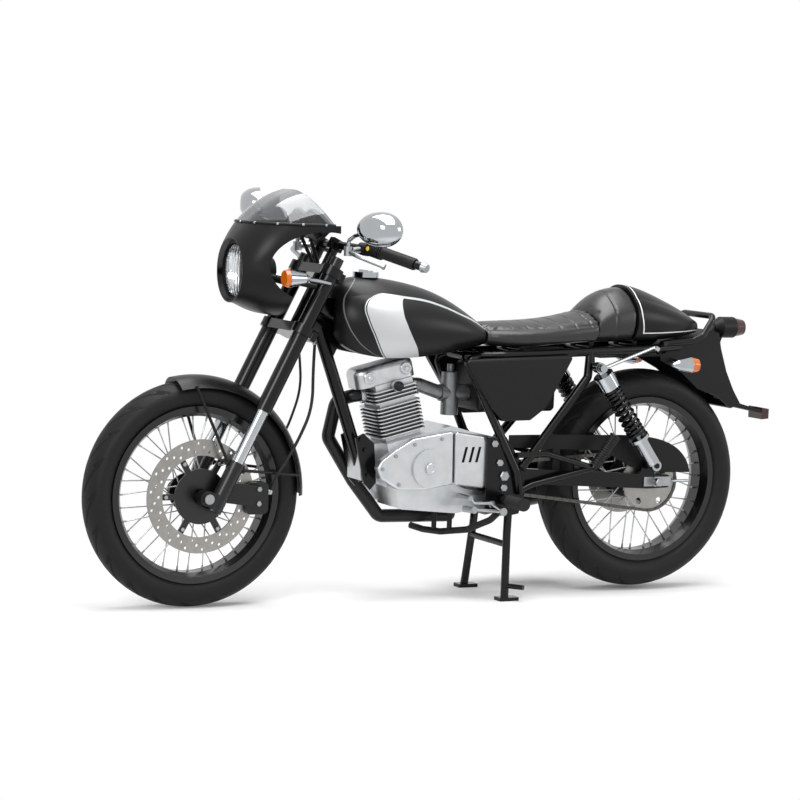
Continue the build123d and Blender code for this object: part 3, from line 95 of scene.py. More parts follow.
def add_node(tree: Tree, kind: str, inputs: dict[Any, Any] | None = None, **options: Any) -> bpy.types.Node:
    """Add one shader node with its options, socket values and links.

    Args:
        tree: Node tree that takes the node.
        kind: Blender's name for the node type.
        inputs: Socket name or index to a value, or to the output socket to link.
        **options: Attributes set on the node itself.

    Returns:
        The new node.
    """
    node = tree.nodes.new(kind)
    for name, value in options.items():
        setattr(node, name, value)
    for key, value in (inputs or {}).items():
        if isinstance(value, Socket):
            tree.links.new(value, node.inputs[key])
        else:
            node.inputs[key].default_value = value
    return node


@dataclass(frozen=True)
class Finish:
    """A surface as it was made: base colour, gloss, soft mottling and fine grain.

    Soft mottling varies colour in patches, gloss varies with the fine grain, and grain is a bump of a real
    size.
    """

    name: str
    colour: str
    shade: str
    metallic: float = 0.0
    roughness: float = 0.4
    spread: float = 0.1
    patch_mm: float = 45.0
    grain_mm: float = 1.0
    grain_depth_mm: float = 0.02
    ior: float = 1.5
    specular: float = 0.5

    def mask(self, tree: Tree, place: Socket) -> Socket:
        """Give the share of the second colour over the surface: soft noise patches.

        Args:
            tree: Node tree that takes the nodes.
            place: Object coordinates.

        Returns:
            The share of the second colour.
        """
        noise = add_node(
            tree,
            "ShaderNodeTexNoise",
            {"Vector": place, "Scale": per_metre(self.patch_mm), "Detail": 4.0, "Roughness": 0.55},
        )
        return noise.outputs["Fac"]

    def grain(self, tree: Tree, place: Socket) -> Socket:
        """Give the height of the fine grain: close noise at the grain's size.

        Args:
            tree: Node tree that takes the nodes.
            place: Object coordinates.

        Returns:
            The height of the grain.
        """
        noise = add_node(
            tree,
            "ShaderNodeTexNoise",
            {"Vector": place, "Scale": per_metre(self.grain_mm), "Detail": 3.0, "Roughness": 0.6},
        )
        return noise.outputs["Fac"]

    def make(self) -> bpy.types.Material:
        """Build the material once, and hand the same one out after that.

        Returns:
            The material of this finish.
        """
        found = bpy.data.materials.get(self.name)
        if found is not None:
            return found
        material = bpy.data.materials.new(self.name)
        material.use_nodes = True
        tree = material.node_tree
        shader = tree.nodes["Principled BSDF"]
        place = add_node(tree, "ShaderNodeTexCoord").outputs["Object"]
        share = self.mask(tree, place)
        colour = add_node(
            tree,
            "ShaderNodeMix",
            {"Factor": share, "A": linear(self.colour), "B": linear(self.shade)},
            data_type="RGBA",
        )
        gloss = add_node(
            tree,
            "ShaderNodeMapRange",
            {
                "Value": self.grain(tree, place),
                "To Min": max(0.02, self.roughness - self.spread / 2),
                "To Max": self.roughness + self.spread / 2,
            },
        )
        bump = add_node(
            tree,
            "ShaderNodeBump",
            {"Height": self.grain(tree, place), "Strength": 1.0, "Distance": self.grain_depth_mm / 1000.0},
        )
        tree.links.new(colour.outputs["Result"], shader.inputs["Base Color"])
        tree.links.new(gloss.outputs["Result"], shader.inputs["Roughness"])
        tree.links.new(bump.outputs["Normal"], shader.inputs["Normal"])
        shader.inputs["Metallic"].default_value = self.metallic
        shader.inputs["IOR"].default_value = self.ior
        shader.inputs["Specular IOR Level"].default_value = self.specular
        self.extend(tree, shader, place)
        return material

    def extend(self, tree: Tree, shader: bpy.types.Node, place: Socket) -> None:
        """Leave the surface as made; finishes with more to them add it here."""


@dataclass(frozen=True)
class Clear(Finish):
    """A see-through moulding, tinted through its whole thickness."""

    through: float = 1.0

    def extend(self, tree: Tree, shader: bpy.types.Node, place: Socket) -> None:
        """Let light through the moulding."""
        shader.inputs["Transmission Weight"].default_value = self.through


@dataclass(frozen=True)
class Fluted(Clear):
    """Pressed glass with upright flutes: a ripple of a real pitch across the width."""

    flute_mm: float = 7.0

    def grain(self, tree: Tree, place: Socket) -> Socket:
        """Give the flutes' height: a sine ripple along Y.

        Args:
            tree: Node tree that takes the nodes.
            place: Object coordinates.

        Returns:
            The height of the grain.
        """
        wave = add_node(
            tree,
            "ShaderNodeTexWave",
            {"Vector": place, "Scale": per_metre(self.flute_mm) / 20.0 * np.pi, "Distortion": 0.0},
            bands_direction="Y",
        )
        return wave.outputs["Fac"]


def compute(tree: Tree, operation: str, first: float | Socket, second: float | Socket) -> Socket:
    """Combine two values by one of the math node's operations.

    Args:
        tree: Node tree that takes the node.
        operation: Blender's name for the operation.
        first: Number or socket on the left.
        second: Number or socket on the right.

    Returns:
        The result.
    """
    return add_node(tree, "ShaderNodeMath", {0: first, 1: second}, operation=operation).outputs[0]


def reach(tree: Tree, place: Socket, centre: Sequence[float], keep: Sequence[float]) -> Socket:
    """Give the distance from a centre, counting only the axes that are kept.

    Args:
        tree: Node tree that takes the nodes.
        place: Object coordinates.
        centre: Point to measure from, in metres.
        keep: One for each axis that counts and zero for each that does not.

    Returns:
        The distance in metres.
    """
    away = add_node(tree, "ShaderNodeVectorMath", {0: place, 1: tuple(centre)}, operation="SUBTRACT")
    flat = add_node(
        tree, "ShaderNodeVectorMath", {0: away.outputs[0], 1: tuple(keep)}, operation="MULTIPLY",
    )
    return add_node(tree, "ShaderNodeVectorMath", {0: flat.outputs[0]}, operation="LENGTH").outputs["Value"]


def edge(tree: Tree, value: Socket, at: float | Socket, soft: float = 0.0006) -> Socket:
    """Give zero below an edge and one above it, with a soft step between.

    Args:
        tree: Node tree that takes the nodes.
        value: Value to test, in metres.
        at: Edge as a number or a socket, in metres.
        soft: Width of the step, in metres.

    Returns:
        The share past the edge.
    """
    past = compute(tree, "SUBTRACT", value, at)
    step = add_node(tree, "ShaderNodeMapRange", {"Value": past, "From Min": -soft, "From Max": soft})
    return step.outputs["Result"]


def both_of(tree: Tree, *shares: Socket) -> Socket:
    """Give the share inside all the given zones: their product.

    Args:
        tree: Node tree that takes the nodes.
        *shares: Shares of each zone.

    Returns:
        The product.
    """
    held = shares[0]
    for share in shares[1:]:
        held = compute(tree, "MULTIPLY", held, share)
    return held


def outside(tree: Tree, share: Socket) -> Socket:
    """Give the share outside a zone: one less it."""
    return compute(tree, "SUBTRACT", 1.0, share)


def line_through(tree: Tree, value: Socket, points: Pairs) -> Socket:
    """Give a smooth curve through points as a function of one coordinate.

    Args:
        tree: Node tree that takes the nodes.
        value: The coordinate in metres.
        points: Pairs of coordinate and height in millimetres, in rising order.

    Returns:
        The curve's height in metres.
    """
    table = np.array(points) / 1000.0
    low, high = table.min(axis=0), table.max(axis=0)
    scaled = add_node(tree, "ShaderNodeMapRange", {"Value": value, "From Min": low[0], "From Max": high[0]})
    curve = add_node(tree, "ShaderNodeFloatCurve", {"Value": scaled.outputs["Result"]})
    shares = (table - low) / (high - low)
    knots = curve.mapping.curves[0].points
    knots[0].location = shares[0]
    knots[1].location = shares[-1]
    for share in shares[1:-1]:
        knots.new(*share)
    curve.mapping.update()
    back = add_node(
        tree, "ShaderNodeMapRange", {"Value": curve.outputs[0], "To Min": low[1], "To Max": high[1]},
    )
    return back.outputs["Result"]


@dataclass(frozen=True)
class Zoned(Finish):
    """A finish with a second one laid over part of it, such as paint over paint or bare metal."""

    over: str = "#c9cbcd"
    over_metallic: float = 0.0
    over_roughness: float = 0.4

    def zone(self, tree: Tree, place: Socket) -> Socket:
        """Give the share of the second finish; each kind of piece says where it lies."""
        return reach(tree, place, (0.0, 0.0, 0.0), (0.0, 0.0, 0.0))

    def extend(self, tree: Tree, shader: bpy.types.Node, place: Socket) -> None:
        """Mix the second finish over the first inside the zone.

        Args:
            tree: Node tree that takes the nodes.
            shader: The surface's shader.
            place: Object coordinates.
        """
        share = self.zone(tree, place)
        for socket, value in (
            ("Base Color", linear(self.over)),
            ("Roughness", self.over_roughness),
            ("Metallic", self.over_metallic),
        ):
            target = shader.inputs[socket]
            kind = "RGBA" if socket == "Base Color" else "FLOAT"
            mix = add_node(tree, "ShaderNodeMix", {0: share}, data_type=kind)
            first, second = [pin for pin in mix.inputs if pin.enabled and pin.name in ("A", "B")]
            if target.is_linked:
                tree.links.new(target.links[0].from_socket, first)
            else:
                first.default_value = target.default_value
            second.default_value = value
            out = [pin for pin in mix.outputs if pin.enabled][0]
            tree.links.new(out, target)


@dataclass(frozen=True)
class Laced(Zoned):
    """A painted hub whose spokes stay bright beyond a radius from the axle."""

    axle: Point = (0.0, 0.0, 0.0)
    hub_radius: float = 0.055
    half_width: float = 0.0435

    def zone(self, tree: Tree, place: Socket) -> Socket:
        """Give one beyond the hub's radius, close to the middle plane where the spokes run.

        Args:
            tree: Node tree that takes the nodes.
            place: Object coordinates.

        Returns:
            The share of the second finish.
        """
        far = edge(tree, reach(tree, place, self.axle, (1.0, 0.0, 1.0)), self.hub_radius)
        near = outside(tree, edge(tree, reach(tree, place, self.axle, (0.0, 1.0, 0.0)), self.half_width))
        return both_of(tree, far, near)


@dataclass(frozen=True)
class Below(Zoned):
    """A finish that changes to a second one below a level."""

    level: float = 0.5

    def zone(self, tree: Tree, place: Socket) -> Socket:
        """Give one below the level."""
        _, _, z = add_node(tree, "ShaderNodeSeparateXYZ", {0: place}).outputs
        return outside(tree, edge(tree, z, self.level))


@dataclass(frozen=True)
class CreviceShade(Zoned):
    """Bare metal darkened by painted shade where it is shut in, as between cooling fins."""

    gap_mm: float = 24.0
    shut: float = 0.25
    fully_open: float = 0.8
    darkest_shade: float = 0.92

    def zone(self, tree: Tree, place: Socket) -> Socket:
        """Give more painted shade the less open the surface is within the gap's reach.

        Args:
            tree: Node tree that takes the nodes.
            place: Object coordinates.

        Returns:
            The share of the second finish.
        """
        open_share = add_node(
            tree,
            "ShaderNodeAmbientOcclusion",
            {"Distance": self.gap_mm / 1000.0},
            samples=8,
            only_local=True,
        )
        # Painted shade: the less open a place is, the darker its colour
        painted_shade = add_node(
            tree,
            "ShaderNodeMapRange",
            {
                "Value": open_share.outputs["AO"],
                "From Min": self.shut,
                "From Max": self.fully_open,
                "To Min": self.darkest_shade,
                "To Max": 0.0,
            },
        )
        return painted_shade.outputs["Result"]


@dataclass(frozen=True)
class Vented(Zoned):
    """Cast covers with painted shade inside their vent slots."""

    low: Point = (-0.064, 0.090, 0.340)
    high: Point = (0.004, 0.1036, 0.425)
    soft: float = 0.0002

    def zone(self, tree: Tree, place: Socket) -> Socket:
        """Give one below the cover's face, inside the box that holds the slots, where the shade is painted.

        Args:
            tree: Node tree that takes the nodes.
            place: Object coordinates.

        Returns:
            The share of the second finish.
        """
        # Painted shade: near-black inside the slots
        axes = add_node(tree, "ShaderNodeSeparateXYZ", {0: place}).outputs
        above = [edge(tree, axis, level, self.soft) for axis, level in zip(axes, self.low)]
        below = [outside(tree, edge(tree, axis, level, self.soft)) for axis, level in zip(axes, self.high)]
        return both_of(tree, *above, *below)


@dataclass(frozen=True)
class TankPaint(Zoned):
    """Satin tank paint with a silver side panel, its fine line, the silver sweep to the rear and a faint
    painted highlight along the front seam.
    """

    # The panel's fore and rear edges: x against height, in millimetres
    fore: Pairs = (
        (650, 232), (657, 239), (671, 254), (717, 283), (763, 303), (784, 307), (800, 302), (817, 281),
        (829, 240),
    )
    rear: Pairs = (
        (650, 130), (664, 140), (684, 153), (709, 171), (747, 192), (776, 201), (801, 199), (817, 186),
        (829, 160),
    )
    # The upper edge of the panel and of the sweep behind it: height against x
    brow: Pairs = (
        (-84, 728), (-40, 757), (10, 776), (73, 799), (128, 813), (183, 820), (247, 827), (330, 829),
    )
    # The pressed seam round the tank's front, where a painted highlight runs: x against height
    seam: Pairs = (
        (659, 250), (675, 286), (709, 326), (752, 349), (781, 354), (809, 349), (834, 333), (862, 302),
    )
    # Widths in metres, where the sweep ends, and how faintly the painted highlight on the seam shows
    panel_gap: float = 0.006
    line_width: float = 0.003
    sweep_width: float = 0.0055
    sweep_end: float = 0.2
    seam_width: float = 0.0025
    seam_highlight_share: float = 0.3

    def zone(self, tree: Tree, place: Socket) -> Socket:
        """Give one on the panel, on the fine line ahead of it and on the sweep under the brow, and a faint
        share along the seam as a painted highlight.

        Args:
            tree: Node tree that takes the nodes.
            place: Object coordinates.

        Returns:
            The share of the second finish.
        """
        x, _, z = add_node(tree, "ShaderNodeSeparateXYZ", {0: place}).outputs
        fore = line_through(tree, z, self.fore)
        rear = line_through(tree, z, self.rear)
        brow = line_through(tree, x, self.brow)
        under = outside(tree, edge(tree, z, brow))
        ahead = compute(tree, "SUBTRACT", fore, x)
        panel = both_of(tree, edge(tree, ahead, self.panel_gap), edge(tree, x, rear), under)
        past_line = edge(tree, ahead, self.line_width)
        stripe = both_of(tree, edge(tree, ahead, 0.0), outside(tree, past_line), under)
        past_sweep = edge(tree, compute(tree, "SUBTRACT", brow, z), self.sweep_width)
        behind = outside(tree, edge(tree, x, self.sweep_end))
        sweep = both_of(tree, under, outside(tree, past_sweep), behind)
        # A faint painted highlight along the seam's flange, as a share of the silver
        bead = compute(tree, "SUBTRACT", line_through(tree, z, self.seam), x)
        past_seam = edge(tree, bead, self.seam_width)
        pressed = both_of(tree, edge(tree, bead, 0.0), outside(tree, past_seam))
        covered = compute(tree, "MULTIPLY", pressed, self.seam_highlight_share)
        for share in (sweep, stripe, panel):
            covered = compute(tree, "MAXIMUM", share, covered)
        return covered


@dataclass(frozen=True)
class CowlPaint(Zoned):
    """Satin cowl paint with one pale fine line up its front and back along its foot."""

    # The line's front run, x against height, and its foot, height against x, in millimetres
    fore: Pairs = (
        (720, -553), (732, -551), (760, -545), (786, -541), (824, -540), (852, -545),
    )
    foot: Pairs = (
        (-760, 734), (-733, 733), (-642, 729), (-569, 727), (-545, 727),
    )
    # Widths of the line's two runs, in metres
    fore_width: float = 0.0035
    foot_width: float = 0.003

    def zone(self, tree: Tree, place: Socket) -> Socket:
        """Give one within a millimetre or two of the line.

        Args:
            tree: Node tree that takes the nodes.
            place: Object coordinates.

        Returns:
            The share of the second finish.
        """
        x, _, z = add_node(tree, "ShaderNodeSeparateXYZ", {0: place}).outputs
        fore = line_through(tree, z, self.fore)
        foot = line_through(tree, x, self.foot)
        back = compute(tree, "SUBTRACT", fore, x)
        rise = compute(tree, "SUBTRACT", z, foot)
        within = both_of(tree, edge(tree, back, 0.0), edge(tree, rise, 0.0))
        upright = both_of(tree, within, outside(tree, edge(tree, back, self.fore_width)))
        along = both_of(tree, within, outside(tree, edge(tree, rise, self.foot_width)))
        return compute(tree, "MAXIMUM", upright, along)


# Satin two-pack paint over steel and plastic panels: a soft broad sheen with the faintest orange peel
SATIN = dict(roughness=0.36, spread=0.08, grain_mm=2.4, grain_depth_mm=0.01, specular=0.22)
SATIN_BLACK = Finish("satin_black_paint", "#0e0f10", "#0b0c0c", **SATIN)
# The same paint on the tank, with silver base coat under satin lacquer on the panel
TANK_PAINT = TankPaint(
    "satin_tank_paint", "#0e0f10", "#0b0c0c", over="#b7b9ba", over_metallic=0.5, over_roughness=0.42,
    **SATIN,
)
# The same paint on the cowl, with a hand-drawn pale line
COWL_PAINT = CowlPaint(
    "satin_cowl_paint", "#0e0f10", "#0b0c0c", over="#d8dadb", over_roughness=0.4, **SATIN,
)
# Stoved gloss enamel on frame tubes: deep black with sharp streaks of light
FRAME_ENAMEL = Finish(
    "gloss_black_enamel", "#070708", "#050505", roughness=0.2, spread=0.08, grain_mm=3.0,
    grain_depth_mm=0.008, specular=0.28,
)
# Powder coat on wheel rims: black, with a fine sprayed texture under a semi-gloss
RIM_COAT = Finish(
    "black_powder_coat", "#09090a", "#060606", roughness=0.2, spread=0.1, grain_mm=1.2,
    grain_depth_mm=0.015,
)
# Decorative chrome: a clear mirror with the faintest haze from handling
CHROME = Finish(
    "polished_chrome", "#b4b8bb", "#a3a7ab", metallic=1.0, roughness=0.07, spread=0.05, grain_mm=6.0,
    grain_depth_mm=0.001,
)
# Fork tubes: black inside the yokes, and hard chrome with the grinding's haze where the legs slide
STANCHION = Below(
    "black_tube_with_hard_chrome", "#08080a", "#060607", roughness=0.24, over="#b0b4b7", over_metallic=1.0,
    over_roughness=0.14, level=0.56,
)
# Zinc-plated steel on axles, nuts and bolts: grey-white, slightly cloudy
ZINC_STEEL = Finish(
    "zinc_plated_steel", "#aeb1b3", "#8d9193", metallic=1.0, roughness=0.3, spread=0.14, patch_mm=14.0,
    grain_mm=0.8, grain_depth_mm=0.01,
)
# Black hubs laced with bright zinc spokes
HUB_LOOK = dict(
    over="#b4b7b9", over_metallic=1.0, over_roughness=0.28, roughness=0.3, spread=0.1, grain_mm=1.2,
    grain_depth_mm=0.015,
)
FRONT_HUB = Laced(
    "black_front_hub_and_spokes", "#0a0a0b", "#070707", axle=FRONT_AXLE, hub_radius=0.0525,
    **HUB_LOOK,
)
REAR_HUB = Laced(
    "black_rear_hub_and_spokes", "#0a0a0b", "#070707", axle=REAR_AXLE, hub_radius=0.0645,
    **HUB_LOOK,
)
# Ground stainless steel on brake discs: pale, with the fine swirl of grinding
DISC_STEEL = Finish(
    "ground_stainless_steel", "#a3a19d", "#86847f", metallic=1.0, roughness=0.34, spread=0.16,
    patch_mm=18.0, grain_mm=1.2, grain_depth_mm=0.01,
)
# Lacquered aluminium casting: light silver with sand-cast grain
ENGINE_CAST = Finish(
    "lacquered_cast_aluminium", "#d0d2d3", "#b6b9bb", metallic=0.9, roughness=0.3, spread=0.12,
    patch_mm=30.0, grain_mm=1.6, grain_depth_mm=0.03,
)
# The same casting, with painted shade filling its vent slots
COVER_CAST = Vented(
    "lacquered_vented_cover", "#d0d2d3", "#b6b9bb", metallic=0.9, roughness=0.3, spread=0.12, patch_mm=30.0,
    grain_mm=1.6, grain_depth_mm=0.03, over="#070707", over_roughness=0.8,
)
# Bead-blasted aluminium of barrel and head, with painted shade darkening the gaps between the fins
FIN_CAST = CreviceShade(
    "bead_blasted_aluminium", over="#1b1a19", over_roughness=0.75, colour="#d2d4d5", shade="#b2b5b7",
    metallic=0.95, roughness=0.34, spread=0.16, patch_mm=22.0, grain_mm=1.1, grain_depth_mm=0.04,
)
# Weathered zinc alloy of the carburettor: darker and duller than the engine, with painted shade in its
# corners
CARB_CAST = CreviceShade(
    "dull_zinc_alloy", "#8b8d8e", "#67696a", over="#1b1a19", over_roughness=0.75, metallic=0.9,
    roughness=0.44, spread=0.16, patch_mm=16.0, grain_mm=1.0, grain_depth_mm=0.03,
)
# Vulcanised rubber of tyres: near-black, dry and slightly dusty
TYRE_RUBBER = Finish(
    "vulcanised_tyre_rubber", "#101011", "#161617", roughness=0.55, spread=0.16, patch_mm=60.0,
    grain_mm=1.8, grain_depth_mm=0.04, specular=0.2,
)
# Moulded soft rubber of grips, pegs and hoses
GRIP_RUBBER = Finish(
    "moulded_rubber", "#0c0d0e", "#121314", roughness=0.5, spread=0.12, grain_mm=0.9, grain_depth_mm=0.03,
    specular=0.28,
)
# Injection-moulded black nylon with a spark-eroded texture
BLACK_NYLON = Finish(
    "textured_black_nylon", "#0a0b0c", "#0f1011", roughness=0.45, spread=0.14, grain_mm=0.8,
    grain_depth_mm=0.03, specular=0.2,
)
# Heat-proof matt black on the exhaust
EXHAUST_BLACK = Finish(
    "heatproof_black_paint", "#090909", "#0f0e0e", roughness=0.36, spread=0.16, patch_mm=70.0, grain_mm=1.0,
    grain_depth_mm=0.02, specular=0.3,
)
# Anodised black of the fork's lower legs
SLIDER_BLACK = Finish(
    "black_anodised_aluminium", "#0b0c0d", "#080808", metallic=0.2, roughness=0.3, spread=0.1, grain_mm=1.4,
    grain_depth_mm=0.012,
)
# Oiled chain steel: grey with brown-black oil in patches
CHAIN_STEEL = Finish(
    "oiled_chain_steel", "#6c6a66", "#3a3733", metallic=1.0, roughness=0.38, spread=0.2, patch_mm=9.0,
    grain_mm=1.2, grain_depth_mm=0.02,
)
# Smooth hide stretched over foam: charcoal, with a fine pebble and a soft sheen
HIDE = Finish(
    "charcoal_hide", "#19191a", "#131314", roughness=0.34, spread=0.12, patch_mm=40.0, grain_mm=2.2,
    grain_depth_mm=0.05, specular=0.5,
)
# Pressed headlamp glass, clear, with upright flutes
LAMP_GLASS = Fluted(
    "pressed_lamp_glass", "#f4f6f7", "#eef1f2", roughness=0.03, spread=0.02, grain_depth_mm=0.3,
)
# Vacuum-silvered reflector and mirror glass: the brightest mirror on the machine
SILVERED = Finish(
    "silvered_glass", "#e6e8ea", "#dcdfe2", metallic=1.0, roughness=0.04, spread=0.03, grain_mm=14.0,
    grain_depth_mm=0.002,
)
# Smoked acrylic screen: grey through its thickness
SMOKED_ACRYLIC = Clear(
    "smoked_acrylic", "#a3a6a8", "#9b9ea0", roughness=0.05, spread=0.02, grain_mm=20.0,
    grain_depth_mm=0.005, ior=1.49,
)
# Polycarbonate lenses, tinted amber and a deep red
AMBER_LENS = Clear(
    "amber_polycarbonate", "#e8780a", "#d96a06", roughness=0.12, spread=0.04, grain_mm=3.0,
    grain_depth_mm=0.15, ior=1.58, through=0.4,
)
RED_LENS = Clear(
    "red_polycarbonate", "#3a0607", "#300405", roughness=0.12, spread=0.04, grain_mm=3.0,
    grain_depth_mm=0.15, ior=1.58, through=0.3,
)
# Printed dial card: off-white ink on matt black
DIAL_CARD = Finish(
    "matt_dial_card", "#101112", "#141516", roughness=0.7, spread=0.06, grain_mm=0.6, grain_depth_mm=0.005,
)
DIAL_INK = Finish(
    "white_dial_ink", "#e4e4df", "#dadad5", roughness=0.6, spread=0.06, grain_mm=0.6, grain_depth_mm=0.005,
)
# Moulded yellow switch button
YELLOW_ABS = Finish(
    "yellow_abs", "#d8b400", "#cba800", roughness=0.35, spread=0.08, grain_mm=1.0, grain_depth_mm=0.01,
)


CAD_FINISHES: dict[str, Finish] = {
    "tyre_rubber": TYRE_RUBBER,
    "rim_black": RIM_COAT,
    "hub_steel": ZINC_STEEL,
    "disc_steel": DISC_STEEL,
    "frame_black": FRAME_ENAMEL,
    "plated_steel": ZINC_STEEL,
    "slider_black": SLIDER_BLACK,
    "chrome": CHROME,
    "spring_black": FRAME_ENAMEL,
    "body_black": SATIN_BLACK,
    "engine_silver": ENGINE_CAST,
    "plastic_black": BLACK_NYLON,
    "rubber_black": GRIP_RUBBER,
    "exhaust_black": EXHAUST_BLACK,
    "chain_steel": CHAIN_STEEL,
    "seat_leather": HIDE,
    "lamp_glass": LAMP_GLASS,
    "screen_smoke": SMOKED_ACRYLIC,
    "amber_lens": AMBER_LENS,
    "red_lens": RED_LENS,
}
# Nodes whose finish differs from their slot's
NODE_FINISHES: dict[str, Finish] = {
    "front_hub": FRONT_HUB,
    "rear_hub": REAR_HUB,
    "fuel_tank": TANK_PAINT,
    "seat_cowl": COWL_PAINT,
    "cylinder": FIN_CAST,
    "cylinder_head": FIN_CAST,
    "fork_tubes": STANCHION,
    "carburettor": CARB_CAST,
    "engine_covers": COVER_CAST,
}


def dress_solids() -> None:
    """Give every carried-over solid the finish of its material slot."""
    for row in frame["record"]["subparts"]:
        solid = NODES[row["node"]].data
        solid.materials.clear()
        finish = NODE_FINISHES.get(row["node"], CAD_FINISHES[row["material_slot"]])
        solid.materials.append(finish.make())


# Shapes


def unit(rows: np.ndarray) -> np.ndarray:
    """Scale each row to a length of one."""
    return rows / np.linalg.norm(rows, axis=-1, keepdims=True)


def square_to(axis: np.ndarray) -> tuple[np.ndarray, np.ndarray]:
    """Give two unit vectors square to an axis and to each other.

    Args:
        axis: Unit vectors, one a row.

    Returns:
        The two vectors for each row, which with the axis make a right-handed set.
    """
    spare = np.where(np.abs(axis[..., 2:3]) < 0.9, np.array([0.0, 0.0, 1.0]), np.array([1.0, 0.0, 0.0]))
    first = unit(np.cross(spare, axis))
    return first, np.cross(axis, first)


def arc(start: Sequence[float], through: Sequence[float], end: Sequence[float], count: int) -> np.ndarray:
    """Give points on the circular arc through three points of a plane.

    Args:
        start: First point.
        through: A point on the way.
        end: Last point.
        count: Number of points.

    Returns:
        The points, one a row.
    """
    a, b, c = (np.array(point, float) for point in (start, through, end))
    sides = 2.0 * np.array([b - a, c - a])
    centre = np.linalg.solve(sides, [b @ b - a @ a, c @ c - a @ a])
    turns = np.unwrap([np.arctan2(*(point - centre)[::-1]) for point in (a, b, c)])
    sweep = np.interp(np.linspace(0.0, 1.0, count), [0.0, 1.0], turns[[0, 2]])
    radius = np.linalg.norm(a - centre)
    return centre + radius * np.column_stack([np.cos(sweep), np.sin(sweep)])


@dataclass
class Shape:
    """One new piece: a mesh from whole arrays, its finish, its body and its material slot."""

    name: str
    body: Body
    finish: Finish
    slot: str
    sharp: float = 40.0
    points: np.ndarray = field(default_factory=lambda: np.zeros((0, 3)))
    faces: list[list[int]] = field(default_factory=list)

    def add(self, points: np.ndarray, faces: np.ndarray) -> None:
        """Add points and faces to the piece."""
        self.faces += (faces + len(self.points)).tolist()
        self.points = np.concatenate([self.points, points])

    def grid(self, points: np.ndarray, round_rows: bool = False, round_columns: bool = False) -> None:
        """Add a sheet of squares over a grid of points.

        Args:
            points: Rows by columns by three.
            round_rows: Joins the last row to the first.
            round_columns: Joins the last column to the first.
        """
        rows, columns = points.shape[:2]
        index = np.arange(rows * columns).reshape(rows, columns)
        if round_rows:
            index = np.vstack([index, index[:1]])
        if round_columns:
            index = np.hstack([index, index[:, :1]])
        corners = (index[:-1, :-1], index[:-1, 1:], index[1:, 1:], index[1:, :-1])
        self.add(points.reshape(-1, 3), np.stack(corners, axis=-1).reshape(-1, 4))

    def turned(
        self,
        at: Sequence[float],
        axis: Sequence[float],
        profile: np.ndarray,
        sides: int = 48,
        ring: bool = False,
    ) -> None:
        """Add a profile turned about an axis: at + axis * along + radius * (circle square to the axis).

        Args:
            at: Origin of the profile on the axis.
            axis: Direction of the axis.
            profile: Rows of distance along the axis and radius.
            sides: Number of steps in the turn.
            ring: Joins the last profile point to the first.
        """
        ahead = unit(np.array(axis, float))
        first, second = square_to(ahead)
        turn = np.linspace(0.0, TURN, sides, endpoint=False)
        circle = np.cos(turn)[:, None] * first + np.sin(turn)[:, None] * second
        along, radius = np.array(profile, float).T
        spun = np.array(at) + along[None, :, None] * ahead + radius[None, :, None] * circle[:, None, :]
        self.grid(spun, round_rows=True, round_columns=ring)

    def repeat(self, at: np.ndarray, axis: np.ndarray, profile: np.ndarray, sides: int) -> None:
        """Add one small turned shape at many places: each copy is the profile about its own axis.

        Args:
            at: Places, one a row.
            axis: Axes, one a row.
            profile: Rows of distance along the axis and radius.
            sides: Number of sides of the shape.
        """
        ahead = unit(np.broadcast_to(np.array(axis, float), at.shape))
        first, second = square_to(ahead)
        turn = np.linspace(0.0, TURN, sides, endpoint=False)
        along, radius = np.array(profile, float).T
        ring = np.cos(turn)[None, :, None] * first[:, None] + np.sin(turn)[None, :, None] * second[:, None]
        line = at[:, None, None] + along[None, None, :, None] * ahead[:, None, None]
        spun = line + radius[None, None, :, None] * ring[:, :, None]
        for copy in spun:
            self.grid(copy, round_rows=True)

    def swept(self, path: np.ndarray, radius: float, sides: int = 12) -> None:
        """Add a round wire along a path, its ends closed: path + radius * (circle square to the path).

        Args:
            path: Points along the wire.
            radius: Radius of the wire.
            sides: Number of steps round it.
        """
        ahead = unit(np.gradient(path, axis=0))
        first, second = square_to(ahead)
        turn = np.linspace(0.0, TURN, sides, endpoint=False)[None, :, None]
        tube = path[:, None] + radius * (np.cos(turn) * first[:, None] + np.sin(turn) * second[:, None])
        ends = [np.repeat(path[i][None, None], sides, axis=1) for i in (0, -1)]
        self.grid(np.concatenate([ends[0], tube, ends[1]]), round_columns=True)

    def make(self, *replaced: str) -> bpy.types.Object:
        """Build the object: join doubled points, face outward, smooth it and tie it to its body.

        Args:
            *replaced: Solids that this piece stands for.

        Returns:
            The new object.
        """
        mesh = bpy.data.meshes.new(self.name)
        mesh.from_pydata(self.points.tolist(), [], self.faces)
        work = bmesh.new()
        work.from_mesh(mesh)
        bmesh.ops.remove_doubles(work, verts=work.verts, dist=1e-6)
        bmesh.ops.recalc_face_normals(work, faces=work.faces)
        work.to_mesh(mesh)
        work.free()
        return self.place(mesh, *replaced)

    def place(self, mesh: bpy.types.Mesh, *replaced: str) -> bpy.types.Object:
        """Smooth a finished mesh, give it its finish and tie it to its body.

        Args:
            mesh: Mesh in the model's frame.
            *replaced: Solids that this piece stands for.

        Returns:
            The new object.
        """
        mesh.shade_smooth()
        mesh.set_sharp_from_angle(angle=np.radians(self.sharp))
        mesh.materials.clear()
        mesh.materials.append(self.finish.make())
        obj = bpy.data.objects.new(self.name, mesh)
        bpy.context.scene.collection.objects.link(obj)
        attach(obj, self.body.value)
        if replaced:
            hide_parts(*replaced)
        LOG.info("%s: %d points", self.name, len(mesh.vertices))
        return obj


# Section of a hexagon head of unit height and radius, its top edge bevelled
HEX_HEAD = np.array([(0.0, 0.0), (0.0, 1.0), (0.78, 1.0), (1.0, 0.86), (1.0, 0.0)])


